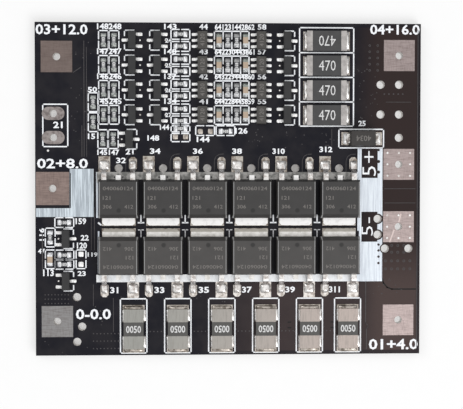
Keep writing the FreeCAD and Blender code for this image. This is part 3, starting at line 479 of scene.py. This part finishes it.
class Piece:
    """A piece of the dressing, gathered in drawing millimetres above the board's face."""

    def __init__(self, name, finish, slot, smooth=False):
        self.name = name
        self.finish = finish
        self.slot = slot
        self.smooth = smooth
        self.mesh = bmesh.new()
        self.chance = random.Random(f"{SEED}{name}")

    def points(self, places, up):
        """Corners at one height."""
        return [self.mesh.verts.new(spot(across, down, up)) for across, down in places]

    def skin(self, rings, capped=True):
        """Side faces between rings of corners, each ring in the same turn, and a cap on each end."""
        for lower, upper in zip(rings, rings[1:]):
            count = len(lower)
            for step in range(count):
                after = (step + 1) % count
                self.mesh.faces.new((lower[step], lower[after], upper[after], upper[step]))
        if capped:
            self.mesh.faces.new(rings[-1])
            self.mesh.faces.new(rings[0][::-1])

    def prism(self, outline, low, high):
        """Flat piece with an outline, between two heights."""
        self.skin([self.points(outline, low), self.points(outline, high)])

    def bar(self, left, top, right, bottom, low, high):
        """Rectangular flat piece."""
        self.prism([(left, bottom), (right, bottom), (right, top), (left, top)], low, high)

    def line(self, start, end, width, low=0.0, high=PRINT_TOP):
        """Flat line from one place to another, with square ends."""
        run = Vector(end) - Vector(start)
        along = run.normalized() * width / 2
        side = Vector((along.y, -along.x))
        first, last = Vector(start) - along, Vector(end) + along
        self.prism([first - side, last - side, last + side, first + side], low, high)

    def path(self, places, width, low=0.0, high=PRINT_TOP):
        """Flat line through several places."""
        for start, end in zip(places, places[1:]):
            self.line(start, end, width, low, high)

    def frame(self, left, top, right, bottom, width):
        """Rectangle drawn as a line."""
        self.path([(left, top), (right, top), (right, bottom), (left, bottom), (left, top)], width)

    def disc(self, across, down, radius, low, high, steps):
        """Flat round piece."""
        self.prism(circle(across, down, radius, steps), low, high)

    def ring(self, across, down, inner, outer, low, high, steps):
        """Flat ring."""
        inside = circle(across, down, inner, steps)
        outside = circle(across, down, outer, steps)
        rings = [self.points(inside, low), self.points(outside, low),
                 self.points(outside, high), self.points(inside, high)]
        self.skin(rings + rings[:1], capped=False)

    def mound(self, across, down, half_wide, half_deep, height, base=0.0):
        """Solder on its land: a rounded rectangle that swells to a soft, slightly uneven top."""
        height = height * self.chance.uniform(0.85, 1.12)
        lean = [self.chance.uniform(-0.08, 0.08) for _ in "xy"]
        levels = [(1, 0), (1, MOUND_EDGE)]
        levels += [(size, max(share * height, MOUND_EDGE)) for size, share in MOUND_LEVELS]
        turns = [2 * math.pi * (step + 0.5) / MOUND_CORNERS for step in range(MOUND_CORNERS)]
        rings = []
        for size, up in levels:
            shift = 1 - size
            places = []
            for turn in turns:
                wide = math.copysign(abs(math.cos(turn)) ** MOUND_ROUNDNESS, math.cos(turn))
                deep = math.copysign(abs(math.sin(turn)) ** MOUND_ROUNDNESS, math.sin(turn))
                places.append((across + half_wide * (wide * size + lean[0] * shift),
                               down - half_deep * (deep * size + lean[1] * shift)))
            rings.append(self.points(places, base + up))
        self.skin(rings)

    def done(self):
        """Make the object, give it its finish and let it ride on the board."""
        bmesh.ops.recalc_face_normals(self.mesh, faces=self.mesh.faces)
        data = bpy.data.meshes.new(self.name)
        self.mesh.to_mesh(data)
        self.mesh.free()
        made = bpy.data.objects.new(self.name, data)
        bpy.context.scene.collection.objects.link(made)
        data.materials.append(self.finish)
        if self.smooth:
            data.polygons.foreach_set("use_smooth", [True] * len(data.polygons))
        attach(made, "root")


def solids_of(name):
    """Every separate solid of a CAD node: across, down, half width, half depth and top."""
    mesh = bmesh.new()
    mesh.from_mesh(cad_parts[name].data)
    bmesh.ops.remove_doubles(mesh, verts=mesh.verts, dist=0.001 * MM)
    found, seen = [], set()
    for start in mesh.verts:
        if start in seen:
            continue
        seen.add(start)
        waiting, corners = [start], []
        while waiting:
            corner = waiting.pop()
            corners.append(corner.co / MM)
            for edge in corner.link_edges:
                other = edge.other_vert(corner)
                if other not in seen:
                    seen.add(other)
                    waiting.append(other)
        low = Vector([min(corner[axis] for corner in corners) for axis in range(3)])
        high = Vector([max(corner[axis] for corner in corners) for axis in range(3)])
        middle, half = (low + high) / 2, (high - low) / 2
        place = (middle.x + BOARD_WIDE / 2, BOARD_DEEP / 2 - middle.y)
        found.append((*place, half.x, half.y, high.z - BOARD_TOP))
    mesh.free()
    return found


def nearest(place, others):
    """The solid whose middle is nearest to a place."""
    return min(others, key=lambda other: math.dist(place[:2], other[:2]))


# Solder joints
def solder_ends(piece, terminals, cases, *, beyond, inward, margin, climb,
                base=0.0, long_axis=False, lands=None):
    """Solder at the outer end of every terminal of a node, which points away from its case.

    It runs beyond the terminal and inward over it, stands out at its sides by the margin and
    climbs a share of its height.
    """
    bodies = [body for case in cases for body in solids_of(case)]
    carriers = solids_of(lands) if lands else []
    for across, down, half_wide, half_deep, top in solids_of(terminals):
        body = nearest((across, down), bodies)
        away = (across - body[0], down - body[1])
        sideways = half_wide > half_deep if long_axis else abs(away[0]) > abs(away[1])
        reach, spread = (beyond + inward) / 2, (beyond - inward) / 2
        height = climb * (top - base)
        if sideways:
            toe = across + math.copysign(half_wide + spread, away[0])
            piece.mound(toe, down, reach, half_deep + margin, height, base)
        else:
            toe = down + math.copysign(half_deep + spread, away[1])
            width = nearest((across, toe), carriers)[2] if carriers else half_wide
            piece.mound(across, toe, width + margin, reach, height, base)


# Component places that hold no part: two bare ones, and one whose lands are soldered.
# Each has two square lands, spread from its middle.
BARE_PLACES = [(23.2, 18.25), (27.2, 17.37)]
SOLDERED_PLACE = (7.25, 37.9)
LAND_SPREAD = 0.82
LAND_HALF = 0.42
LAND_RISE = 0.1

MOSFET_CASES = [f"mosfet_case_{number:02d}" for number in range(1, 13)]
BALANCE_BODIES = [f"balance_resistor_{number}" for number in range(1, 5)]
SHUNT_BODIES = [f"shunt_body_{number}" for number in range(1, 7)]
for kind in ("resistor", "capacitor"):
    slot = f"chip_{kind}_end"
    chip_joints = Piece(f"{kind}_solder_joints", FINISHES[slot], slot, smooth=True)
    solder_ends(chip_joints, f"chip_{kind}_ends", [f"chip_{kind}_bodies"],
                beyond=0.34, inward=0.3, margin=0.06, climb=0.62)
    chip_joints.done()
joints = Piece("lead_solder_joints", small_solder, "component_land", smooth=True)
solder_ends(joints, "monitor_leads", ["monitor_cases"],
            beyond=0.28, inward=0.55, margin=0.03, climb=0.14, long_axis=True)
solder_ends(joints, "transistor_leads", ["transistor_cases"],
            beyond=0.42, inward=0.6, margin=0.06, climb=0.15, long_axis=True)
solder_ends(joints, "diode_terminals", ["diode_case"],
            beyond=0.5, inward=0.2, margin=0.2, climb=0.4, base=ON_LAND)
across, down = SOLDERED_PLACE
for side in (-1, 1):
    joints.mound(across, down + side * LAND_SPREAD, LAND_HALF, LAND_HALF, LAND_RISE)
joints.done()

power_joints = Piece("power_solder_joints", solder, "power_land", smooth=True)
solder_ends(power_joints, "mosfet_leads", MOSFET_CASES, beyond=0.5, inward=1.1, margin=-0.07,
            climb=0.26, base=ON_LAND, long_axis=True, lands="mosfet_lands")
power_joints.done()

wide_joints = Piece("balance_solder_joints", solder, "balance_end", smooth=True)
solder_ends(wide_joints, "balance_resistor_ends", BALANCE_BODIES,
            beyond=0.5, inward=0.2, margin=-0.12, climb=0.75, base=ON_LAND)
wide_joints.done()

# Solder of the shunts: dull in front of them, bright and swollen along their sides
dull_solder = FINISHES["component_land"]
shunt_joints = Piece("shunt_solder_joints", dull_solder, "component_land", smooth=True)
solder_ends(shunt_joints, "shunt_terminals", SHUNT_BODIES,
            beyond=0.55, inward=0.25, margin=0.0, climb=0.6, base=ON_LAND)
shunt_joints.done()
shunt_sides = Piece("shunt_side_solder", solder, "shunt_terminal", smooth=True)
for across, down, half_wide, half_deep, top in solids_of("shunt_terminals"):
    half_long, tall = half_deep * 0.95, top - ON_LAND
    right, left = across + half_wide + 0.12, across - half_wide - 0.03
    shunt_sides.mound(right, down, 0.32, half_long, 0.42 * tall, ON_LAND)
    shunt_sides.mound(left, down, 0.17, half_long, 0.3 * tall, ON_LAND)
shunt_sides.done()

# Scratch over the lower output pad, in two lines that stop clear of its hole
scratched = ink_finish("scratched_copper", (0.7, 0.58, 0.55), (0.55, 0.45, 0.43))
scratch = Piece("pad_scratch", scratched, "wire_pad")
for start, end in (((58.85, 30.8), (58.6, 31.85)), ((57.75, 33.35), (57.1, 35.15))):
    scratch.line(start, end, 0.24, IN_COPPER, ON_PAD + 0.008)
scratch.done()

bare_lands = Piece("empty_lands", dull_solder, "component_land", smooth=True)
for across, down in BARE_PLACES:
    for side in (-1, 1):
        bare_lands.mound(across + side * LAND_SPREAD, down, LAND_HALF, LAND_HALF, LAND_RISE)
bare_lands.done()

# Rims of the wire holes on the underside
WIRE_HOLES = [(3.45, 5.5), (3.45, 47.9), (58.5, 5.1), *OUTPUT_PADS, (58.5, 47.9),
              (2.75, 26.55), (2.9, 18.4), (2.9, 14.55)]
RIM_INNER, RIM_OUTER = 0.605, 1.15
rims = Piece("underside_rims", FINISHES["power_land"], "power_land")
for across, down in WIRE_HOLES:
    rims.ring(across, down, RIM_INNER, RIM_OUTER, -BOARD_TOP - 0.01, -BOARD_TOP + 0.005, 32)
rims.done()

# White print: outlines of the components. The fours are the framed groups of four small chips.
OUTLINE = 0.2  # width of most lines
BRACKET_HALF = 1.57
CHIP_LONG, CHIP_WIDE, CHIP_GAP = 1.5, 0.78, 0.22  # half sizes, from the chip's middle
CHIPS_END = 24  # small chips left of this have an outline each
FOURS_LEFT, FOURS_RIGHT = 28.65, 34.2
FOURS_DIVIDERS = (30.05, 31.45, 32.85)
BALANCE_LEFT, BALANCE_RIGHT = 42.35, 51.1
BALANCE_LEVELS = (0.7, 4.7, 8.65, 12.6, CHANNELS_END)
SHUNT_FRAME_HALF, SHUNT_FRAME_TOP, SHUNT_FRAME_END = 2.12, 44.3, 53.05
DIODE_FRAME = (48.75, 17.0, 56.0, 20.0)
SWITCH_PADS_FRAME = (1.25, 13.1, 5.2, 19.85)
SHUNT_COLUMNS = [solid[0] for body in SHUNT_BODIES for solid in solids_of(body)]
lines = Piece("print_outlines", white_ink, "board")


def bracket(column, row, side):
    """Corner lines round a small transistor, on the side where its single lead is."""
    inner, outer = column - side * 0.3, column + side * 1.2
    for end in (-1, 1):
        corner = row + end * BRACKET_HALF
        lines.path([(inner, corner), (outer, corner), (outer, row + end * 0.75)], OUTLINE)


def chip_outline(across, down, upright):
    """Two facing brackets round a small chip."""
    for end in (-1, 1):
        places = [(-CHIP_WIDE, CHIP_GAP), (-CHIP_WIDE, CHIP_LONG),
                  (CHIP_WIDE, CHIP_LONG), (CHIP_WIDE, CHIP_GAP)]
        lines.path([(across + x, down + end * y) if upright else (across + end * y, down + x)
                    for x, y in places], 0.19)


for row in CHANNEL_ROWS:
    bracket(15.47, row, -1)
    bracket(19.5, row, -1)
    bracket(40.35, row, 1)
    for end in (-1, 1):
        inner, outer = row + end * 0.25, row + end * 1.5
        lines.path([(FOURS_LEFT, inner), (FOURS_LEFT, outer),
                    (FOURS_RIGHT, outer), (FOURS_RIGHT, inner)], OUTLINE)
        for divider in FOURS_DIVIDERS:
            lines.line((divider, row + end * 0.3), (divider, row + end * 1.4), OUTLINE)
for level in BALANCE_LEVELS:
    lines.line((BALANCE_LEFT, level), (BALANCE_RIGHT, level), OUTLINE)
for side in (BALANCE_LEFT, BALANCE_RIGHT):
    lines.line((side, BALANCE_LEVELS[0]), (side, BALANCE_LEVELS[-1]), OUTLINE)
for column in SHUNT_COLUMNS:
    left, right = column - SHUNT_FRAME_HALF, column + SHUNT_FRAME_HALF
    lines.frame(left, SHUNT_FRAME_TOP, right, SHUNT_FRAME_END, OUTLINE)
lines.frame(*DIODE_FRAME, OUTLINE)
lines.frame(*SWITCH_PADS_FRAME, OUTLINE)
for middle in (27.15, 30.42):
    chip_outline(middle, 17.25, upright=False)
chips = solids_of("chip_resistor_bodies") + solids_of("chip_capacitor_bodies")
for across, down, half_wide, half_deep, _ in chips:
    if across < CHIPS_END:
        chip_outline(across, down, half_deep > half_wide)
chip_outline(*BARE_PLACES[0], upright=False)
chip_outline(*SOLDERED_PLACE, upright=True)
lower_transistors = [place for place in solids_of("transistor_cases") if place[1] > CHANNELS_END]
for across, down, *_ in lower_transistors:
    bracket(across, down, 1)
GAP_COLUMNS = [column + MOSFET_PITCH / 2 for column in MOSFET_COLUMNS[:-1]]
for middle in GAP_COLUMNS:
    lines.line((middle, 30.9), (middle, 31.95), 0.22)
    lines.line((middle - 0.42, 32.05), (middle + 0.42, 32.05), 0.22)
lines.line((10.1, 32.1), (10.4, 32.35), 0.25)
lines.done()
thin_ink = ink_finish("thin_print_ink", (0.62, 0.62, 0.64), (0.35, 0.35, 0.36))
thin_lines = Piece("print_ticks", thin_ink, "board")
for middle in GAP_COLUMNS:
    thin_lines.line((middle - 0.4, 33.2), (middle + 0.4, 33.2), 0.16)
    thin_lines.line((middle, 33.2), (middle, 34.3), 0.16)
thin_lines.done()

# Numbers on the board and on the components: their inks, heights and weights of stroke
numbers = Piece("print_numbers", white_ink, "board")
grey_ink = ink_finish("grey_marking_ink", (0.7, 0.7, 0.7), (0.42, 0.42, 0.42))
stamps = Piece("component_numbers", grey_ink, "balance_body")
faint_ink = ink_finish("faint_marking_ink", (0.19, 0.178, 0.168), (0.11, 0.104, 0.098))
marks = Piece("case_numbers", faint_ink, "power_case")
NUMBER_UP = 0.02
BALANCE_PRINT_UP = 0.722
CASE_PRINT_UP = 2.41
LEGEND_WEIGHT = 0.022
TURNED_WEIGHT = -0.008
SMALL_WEIGHT = 0.03
MARK_WEIGHT = 0.01
MOST_STRETCH = 1.5


def write(piece, text, left, top, right, bottom, turn, up=NUMBER_UP, weight=0.0):
    """Numbers drawn to fill a box; the turn is in quarter turns to the left."""
    curve = bpy.data.curves.new("numbers", "FONT")
    curve.body = text
    curve.resolution_u = 2
    curve.offset = weight
    holder = bpy.data.objects.new("numbers", curve)
    glyphs = bpy.data.meshes.new_from_object(holder)
    bpy.data.objects.remove(holder)
    places = [Matrix.Rotation(turn * math.pi / 2, 2) @ corner.co.xy for corner in glyphs.vertices]
    low = [min(place[axis] for place in places) for axis in range(2)]
    high = [max(place[axis] for place in places) for axis in range(2)]
    room = (right - left, bottom - top)
    scale = [room[axis] / (high[axis] - low[axis]) for axis in range(2)]
    scale = [min(part, MOST_STRETCH * min(scale)) for part in scale]
    middle = ((left + right) / 2, (top + bottom) / 2)
    made = []
    for place in places:
        shift = [(place[axis] - (low[axis] + high[axis]) / 2) * scale[axis] for axis in range(2)]
        made.append(piece.mesh.verts.new(spot(middle[0] + shift[0], middle[1] - shift[1], up)))
    for face in glyphs.polygons:
        piece.mesh.faces.new([made[corner] for corner in face.vertices])
    bpy.data.meshes.remove(glyphs)


# Each legend: its text, the box it fills and its quarter turns
LEGENDS = [
    ("03+12.0", 0.15, 0.35, 8.4, 2.0, 0), ("04+16.0", 53.75, 0.1, 61.8, 1.75, 0),
    ("02+8.0", 0.3, 21.75, 8.4, 23.35, 0), ("0-0.0", 6.4, 45.9, 12.0, 47.6, 0),
    ("01+4.0", 53.75, 51.0, 61.75, 52.75, 0),
    ("5+", 52.6, 20.5, 54.8, 24.5, 1), ("5-", 52.5, 30.7, 54.34, 34.7, 1),
]
for text, *box, turn in LEGENDS:
    write(numbers, text, *box, turn=turn, weight=TURNED_WEIGHT if turn else LEGEND_WEIGHT)
SMALL_LEGENDS = [("21", 2.9, 15.85, 4.4, 16.9, 0), ("25", 51.9, 15.6, 53.1, 16.5, 0)]
for step, row in enumerate(CHANNEL_ROWS):
    top = row - 2.65
    fours = f"{641 + step}{231 - step}{442 + step}{862 - step}"
    SMALL_LEGENDS += [
        (f"{148 - step}{248 - step}", 9.9, top, 13.8, top + 0.95, 0),
        (f"{143 - 3 * step}", 20.6, top, 22.6, top + 0.9, 0),
        (f"{24 + step}", 20.75, top + 2.32, 21.8, top + 3.02, 0),
        (f"{44 - step}", 26.2, top, 27.6, top + 0.9, 0),
        (f"{58 - step}", 35.6, top, 37.0, top + 0.9, 0),
        (fours, 28.7, top, 35.1, top + 0.95, 0),
    ]
SMALL_LEGENDS += [
    ("144", 19.9, 16.3, 21.4, 17.15, 0), ("148", 17.9, 18.0, 19.8, 18.9, 0),
    ("144", 25.8, 18.2, 27.9, 19.1, 0), ("126", 32.0, 16.8, 34.0, 17.75, 0),
    ("50", 8.4, 10.3, 9.9, 11.15, 0), ("151", 8.4, 17.75, 10.1, 18.65, 0),
    ("145147", 9.9, 20.3, 13.4, 21.2, 0), ("21", 14.4, 20.2, 15.7, 21.1, 0),
    ("32", 12.9, 21.6, 14.5, 22.5, 0), ("34", 18.3, 20.1, 20.0, 21.0, 0),
    ("36", 25.2, 20.1, 26.8, 21.0, 0), ("38", 31.5, 20.1, 33.1, 21.0, 0),
    ("310", 38.0, 20.1, 40.0, 21.0, 0), ("312", 45.6, 19.8, 47.7, 20.7, 0),
    ("31", 11.9, 42.4, 13.2, 43.4, 0), ("33", 19.0, 42.4, 20.6, 43.4, 0),
    ("35", 26.1, 42.4, 27.8, 43.4, 0), ("37", 33.1, 42.4, 34.7, 43.4, 0),
    ("39", 40.1, 42.4, 41.7, 43.4, 0), ("311", 47.2, 42.4, 49.0, 43.4, 0),
    ("159", 6.4, 31.3, 8.1, 32.3, 0), ("116", 0.6, 32.9, 1.4, 34.9, 1),
    ("22", 7.2, 34.0, 8.5, 34.9, 0), ("120", 6.6, 35.2, 8.2, 36.2, 0),
    ("47", 0.4, 36.2, 1.5, 37.0, 0), ("119", 8.3, 36.8, 9.9, 37.5, 0),
    ("113", 1.2, 39.5, 2.9, 40.6, 0), ("23", 6.7, 39.8, 8.0, 40.6, 0),
]
for text, *box, turn in SMALL_LEGENDS:
    write(numbers, text, *box, turn=turn, weight=SMALL_WEIGHT)
numbers.done()

for step, row in enumerate(CHANNEL_ROWS):
    turn = 0 if step else 2
    write(stamps, "470", 45.4, row - 0.82, 48.1, row + 0.82, turn, BALANCE_PRINT_UP)
for step, body in enumerate(SHUNT_BODIES):
    column, down, *_, top = solids_of(body)[0]
    turn = 0 if step in (0, 5) else 2
    write(stamps, "0050", column - 1.2, down - 0.58, column + 1.2, down + 0.58, turn,
          top + 0.02, 0.02)
for across, down, half_wide, half_deep, top in solids_of("chip_resistor_bodies"):
    upright = half_deep > half_wide
    wide, deep = (0.25, 0.42) if upright else (0.42, 0.25)
    write(stamps, "103", across - wide, down - deep, across + wide, down + deep, int(upright),
          top + 0.01, 0.05)
stamps.done()

# Marks of a power transistor: text, its ends from the case's middle, and the way from the midline
CASE_MARKS = [("040060124", -2.4, 2.4, 6.25), ("121", -2.4, -1.2, 4.75),
              ("306", -2.4, -1.0, 3.35), ("412", 1.0, 2.4, 3.35)]
for column in MOSFET_COLUMNS:
    for side, turn in ((-1, 0), (1, 2)):
        for text, start, end, far in CASE_MARKS:
            left, right = sorted((column - side * start, column - side * end))
            down = MIDLINE + side * far
            write(marks, text, left, down - 0.3, right, down + 0.3, turn, CASE_PRINT_UP, MARK_WEIGHT)
for across, down, _, _, top in solids_of("monitor_cases"):
    write(marks, "4120", across - 0.35, down - 1.0, across + 0.35, down + 1.0, 1,
          top + 0.01, MARK_WEIGHT)
for across, down, _, _, top in solids_of("diode_case"):
    write(marks, "4034", across - 1.2, down - 0.45, across + 1.2, down + 0.45, 2,
          top + 0.01, MARK_WEIGHT)
marks.done()

# Small via holes: bright where solder fills them, dark in the tinned strips, and under the mask
# faintly lighter as a painted highlight of the covered copper
filled = Piece("filled_vias", solder, "power_land")
dark_dots = Piece("strip_vias", mask, "board")
# Painted highlight: copper under the mask is drawn a little lighter than the mask.
relief_highlight_ink = ink_finish("covered_copper_edge_highlight", (0.075, 0.07, 0.072), (0.03, 0.028, 0.03))
faint_dots = Piece("covered_vias", relief_highlight_ink, "board")
SMALL_VIA = 0.13
for row in CHANNEL_ROWS:
    for across in (16.75, 20.8, 39.15):
        filled.disc(across, row, SMALL_VIA, 0, FILL_TOP, 10)
for across, down, *_ in lower_transistors:
    filled.disc(across - 1.2, down, SMALL_VIA, 0, FILL_TOP, 10)
filled.disc(2.05, 20.5, 0.18, 0, FILL_TOP, 12)
for across, down in OUTPUT_PADS:
    for x in (-1, 0, 1):
        for y in (-1, 0, 1):
            if x or y:
                filled.disc(across + 1.85 * x, down + 1.85 * y, 0.17, IN_COPPER, ON_PAD + 0.02, 12)
STRIP_VIAS = [(55.2, 20.35, 0.2), (55.2, 22.2, 0.26), (55.2, 23.9, 0.26),
              (55.25, 35.65, 0.2), (55.25, 36.6, 0.2), (55.25, 37.6, 0.2), (55.25, 38.65, 0.2)]
STRIP_VIAS += [
    (column + side * 0.65, 24.72, SMALL_VIA) for column in MOSFET_COLUMNS for side in (-1, 1)]
for across, down, size in STRIP_VIAS:
    dark_dots.disc(across, down, size, IN_COPPER, ON_LAND + 0.015, 12)
for step in range(5):
    for down in (35.8, 36.9, 38.3, 39.6):
        if down > 38 or 0 < step < 4:
            faint_dots.ring(56.4 + step, down, 0.12, 0.22, 0, MASK_STEP, 12)
    for across in (53.7, 55.0):
        faint_dots.ring(across, 3.5 + step, 0.1, 0.19, 0, MASK_STEP, 12)
    faint_dots.disc(56.1 + step * 0.75, 11.3, 0.12, 0, MASK_STEP, 10)
shunt_columns = sorted(SHUNT_COLUMNS)
for left, right in zip(shunt_columns, shunt_columns[1:]):
    for number in range(4):
        faint_dots.disc((left + right) / 2 + (number - 1.5) * 0.6, 49.6, 0.1, 0, MASK_STEP, 8)
for start, end, downs in ((9.2, 13.2, (49.9, 51.1, 52.3)), (1.5, 5.2, (43.6, 44.3, 45.0))):
    for down in downs:
        for number in range(8):
            faint_dots.disc(start + (end - start) * number / 7, down, 0.1, 0, MASK_STEP, 8)

# Scattered dots of the mask: each field's left, top, right and bottom, and its count
DOT_FIELDS = [(34, 17, 48, 20, 26), (13.5, 43.8, 55, 45, 18), (1, 45.5, 12, 53, 16),
              (53, 40, 61, 44, 12), (51.5, 7, 55, 16, 22), (5.5, 3, 9, 20, 24)]
chance = random.Random(SEED)
for left, top, right, bottom, count in DOT_FIELDS:
    for number in range(count):
        across, down = chance.uniform(left, right), chance.uniform(top, bottom)
        faint_dots.disc(across, down, chance.uniform(0.05, 0.11), 0, 0.015, 8)
filled.done()
dark_dots.done()
faint_dots.done()

# Copper that shows as a low step under the solder mask, drawn lighter as a painted highlight: each
# line's ends and width
COPPER_LINES = [
    ((7.45, 16.5), (7.45, 21.4), 0.1), ((7.8, 3.0), (7.8, 21.4), 0.1),
    ((8.2, 4.0), (8.2, 21.4), 0.08), ((6.1, 8.0), (7.3, 7.2), 0.1),
    ((1.1, 33.8), (1.1, 39.6), 0.16), ((8.9, 31.0), (8.9, 36.4), 0.08),
    ((9.4, 29.6), (9.4, 36.4), 0.1), ((53.2, 41.6), (53.2, 48.4), 0.12),
    ((53.35, 49.2), (53.35, 52.6), 0.12), ((56.4, 12.6), (60.4, 12.6), 0.08),
    ((61.55, 1.0), (61.55, 52.4), 0.1), ((9.2, 42.0), (9.2, 45.4), 0.08),
    ((12.4, 44.2), (12.4, 49.6), 0.08), ((47.6, 17.0), (47.6, 19.6), 0.08),
    ((56.2, 26.6), (61.2, 26.6), 0.08), ((56.2, 28.9), (61.2, 28.9), 0.08),
]
steps = Piece("copper_steps", relief_highlight_ink, "board")
for start, end, width in COPPER_LINES:
    steps.line(start, end, width, 0, MASK_STEP)
steps.path([(53.2, 48.4), (53.6, 48.8), (53.6, 49.0), (53.35, 49.2)], 0.1, 0, MASK_STEP)
for column in MOSFET_COLUMNS:
    lead = column + 2.28
    steps.path([(lead - 1.15, 24.0), (lead - 1.15, 22.1), (lead - 0.9, 21.4),
                (lead - 0.35, 21.05), (lead + 0.35, 21.0)], 0.09, 0, MASK_STEP)
steps.done()
bare_line = ink_finish("bare_laminate_line", (0.006, 0.005, 0.005), (0.012, 0.01, 0.01))
gap_and_shade_lines = Piece("copper_gaps", bare_line, "board")
gap_and_shade_lines.path([(55.9, 41.2), (56.1, 41.9), (56.7, 42.6), (57.5, 42.9), (61.3, 42.9)], 0.22, 0, GAP_TOP)
# Painted shade: a dark line along the right edge of the left middle wire pad.
gap_and_shade_lines.line((5.62, 24.15), (5.62, 29.6), 0.13, 0, ON_LAND + 0.012)
for level in (48.2, 49.1):
    gap_and_shade_lines.line((47.6, level), (48.1, level), 0.2, 0, GAP_TOP)
    gap_and_shade_lines.line((40.6, level), (41.0, level), 0.2, 0, GAP_TOP)
gap_and_shade_lines.done()

# Narrow tinned lines: left of the lower transistors, and at the left edge of the output strip
side_line = Piece("strip_side_line", FINISHES["output_strip"], "output_strip")
side_line.bar(9.95, 33.4, 10.2, 40.2, 0, ON_LAND)
side_line.bar(51.8, 20.05, 52.1, 33.4, 0, ON_LAND)
side_line.done()

# Floor, light and camera
FLOOR_HALF = 1.5
FLOOR_LEVEL = -0.00002
floor_mesh = bmesh.new()
for x, y in ((-1, -1), (1, -1), (1, 1), (-1, 1)):
    floor_mesh.verts.new((x * FLOOR_HALF, y * FLOOR_HALF, FLOOR_LEVEL))
floor_mesh.faces.new(floor_mesh.verts)
floor_data = bpy.data.meshes.new("floor")
floor_mesh.to_mesh(floor_data)
floor_mesh.free()
floor = bpy.data.objects.new("floor", floor_data)
bpy.context.scene.collection.objects.link(floor)

# White paper: the camera sees it partly as an even glow, with painted shade under the board that
# darkens what shows through the board's holes
PAPER_GLOW = 0.6
paper = Finish("floor_paper", Roughness=0.9, Specular_IOR_Level=0.2)
fibre = paper.noise(0.4, 4)
white = paper.mix(fibre, (0.9, 0.9, 0.9), (0.94, 0.94, 0.94))
paper.wear(white, 0.85 + fibre * 0.1, fibre, 0.05, 0.02)
# Painted shade on the floor under the board, strongest in the middle and to the left.
under = paper.on_board(0.4, 0.4)
middle = abs(paper.x).fall(21, 24) * abs(paper.y).fall(8, 11)
painted_floor_shade = under * (0.1 + paper.x.fall(-22, -18) * 0.17 + middle * 0.47)
shaded = paper.node("ShaderNodeMixShader", {}, {
    0: paper.seen_directly() * (PAPER_GLOW - painted_floor_shade),
    1: Value(paper, paper.shader.outputs[0]),
    2: paper.node("ShaderNodeEmission", {}, {"Strength": 1.0})})
paper.tree.links.new(shaded.socket, paper.tree.nodes["Material Output"].inputs["Surface"])
floor_data.materials.append(paper.material)

world = bpy.data.worlds.new("studio")
world.use_nodes = True
bpy.context.scene.world = world
sky = Tree(world.node_tree)
upward = sky.parts(sky.node("ShaderNodeTexCoord", {}, {}, "Generated"))[2]
glow = sky.mix(upward.rise(0.1, 0.95), (0.16, 0.16, 0.17), (0.86, 0.86, 0.86))
backdrop = sky.mix(sky.seen_by_camera(), glow, (1, 1, 1))
background = sky.node("ShaderNodeBackground", {}, {"Color": backdrop})
sky.tree.links.new(background.socket, sky.tree.nodes["World Output"].inputs["Surface"])


def soft_lamp(name, place, power, size):
    """Square lamp that faces the board."""
    lamp = bpy.data.lights.new(name, "AREA")
    lamp.energy = power
    lamp.size = size
    holder = bpy.data.objects.new(name, lamp)
    holder.location = place
    holder.rotation_euler = (-Vector(place)).to_track_quat("-Z", "Y").to_euler()
    bpy.context.scene.collection.objects.link(holder)


soft_lamp("lower_right_lamp", (0.32, -0.42, 0.5), power=2.7, size=0.45)
soft_lamp("upper_left_lamp", (-0.45, 0.25, 0.45), power=0.7, size=0.3)

CAMERA_PLACE = (-8.1, 3.52, 194.61)
CAMERA_ANGLES = (-1.766, -2.522, 0.031)
camera_data = bpy.data.cameras.new("camera")
camera_data.lens = 93.3
camera_data.clip_start = 0.01
camera = bpy.data.objects.new("camera", camera_data)
camera.location = Vector(CAMERA_PLACE) * MM
camera.rotation_euler = [math.radians(angle) for angle in CAMERA_ANGLES]
bpy.context.scene.collection.objects.link(camera)
bpy.context.scene.camera = camera
bpy.context.scene.view_settings.view_transform = "Standard"
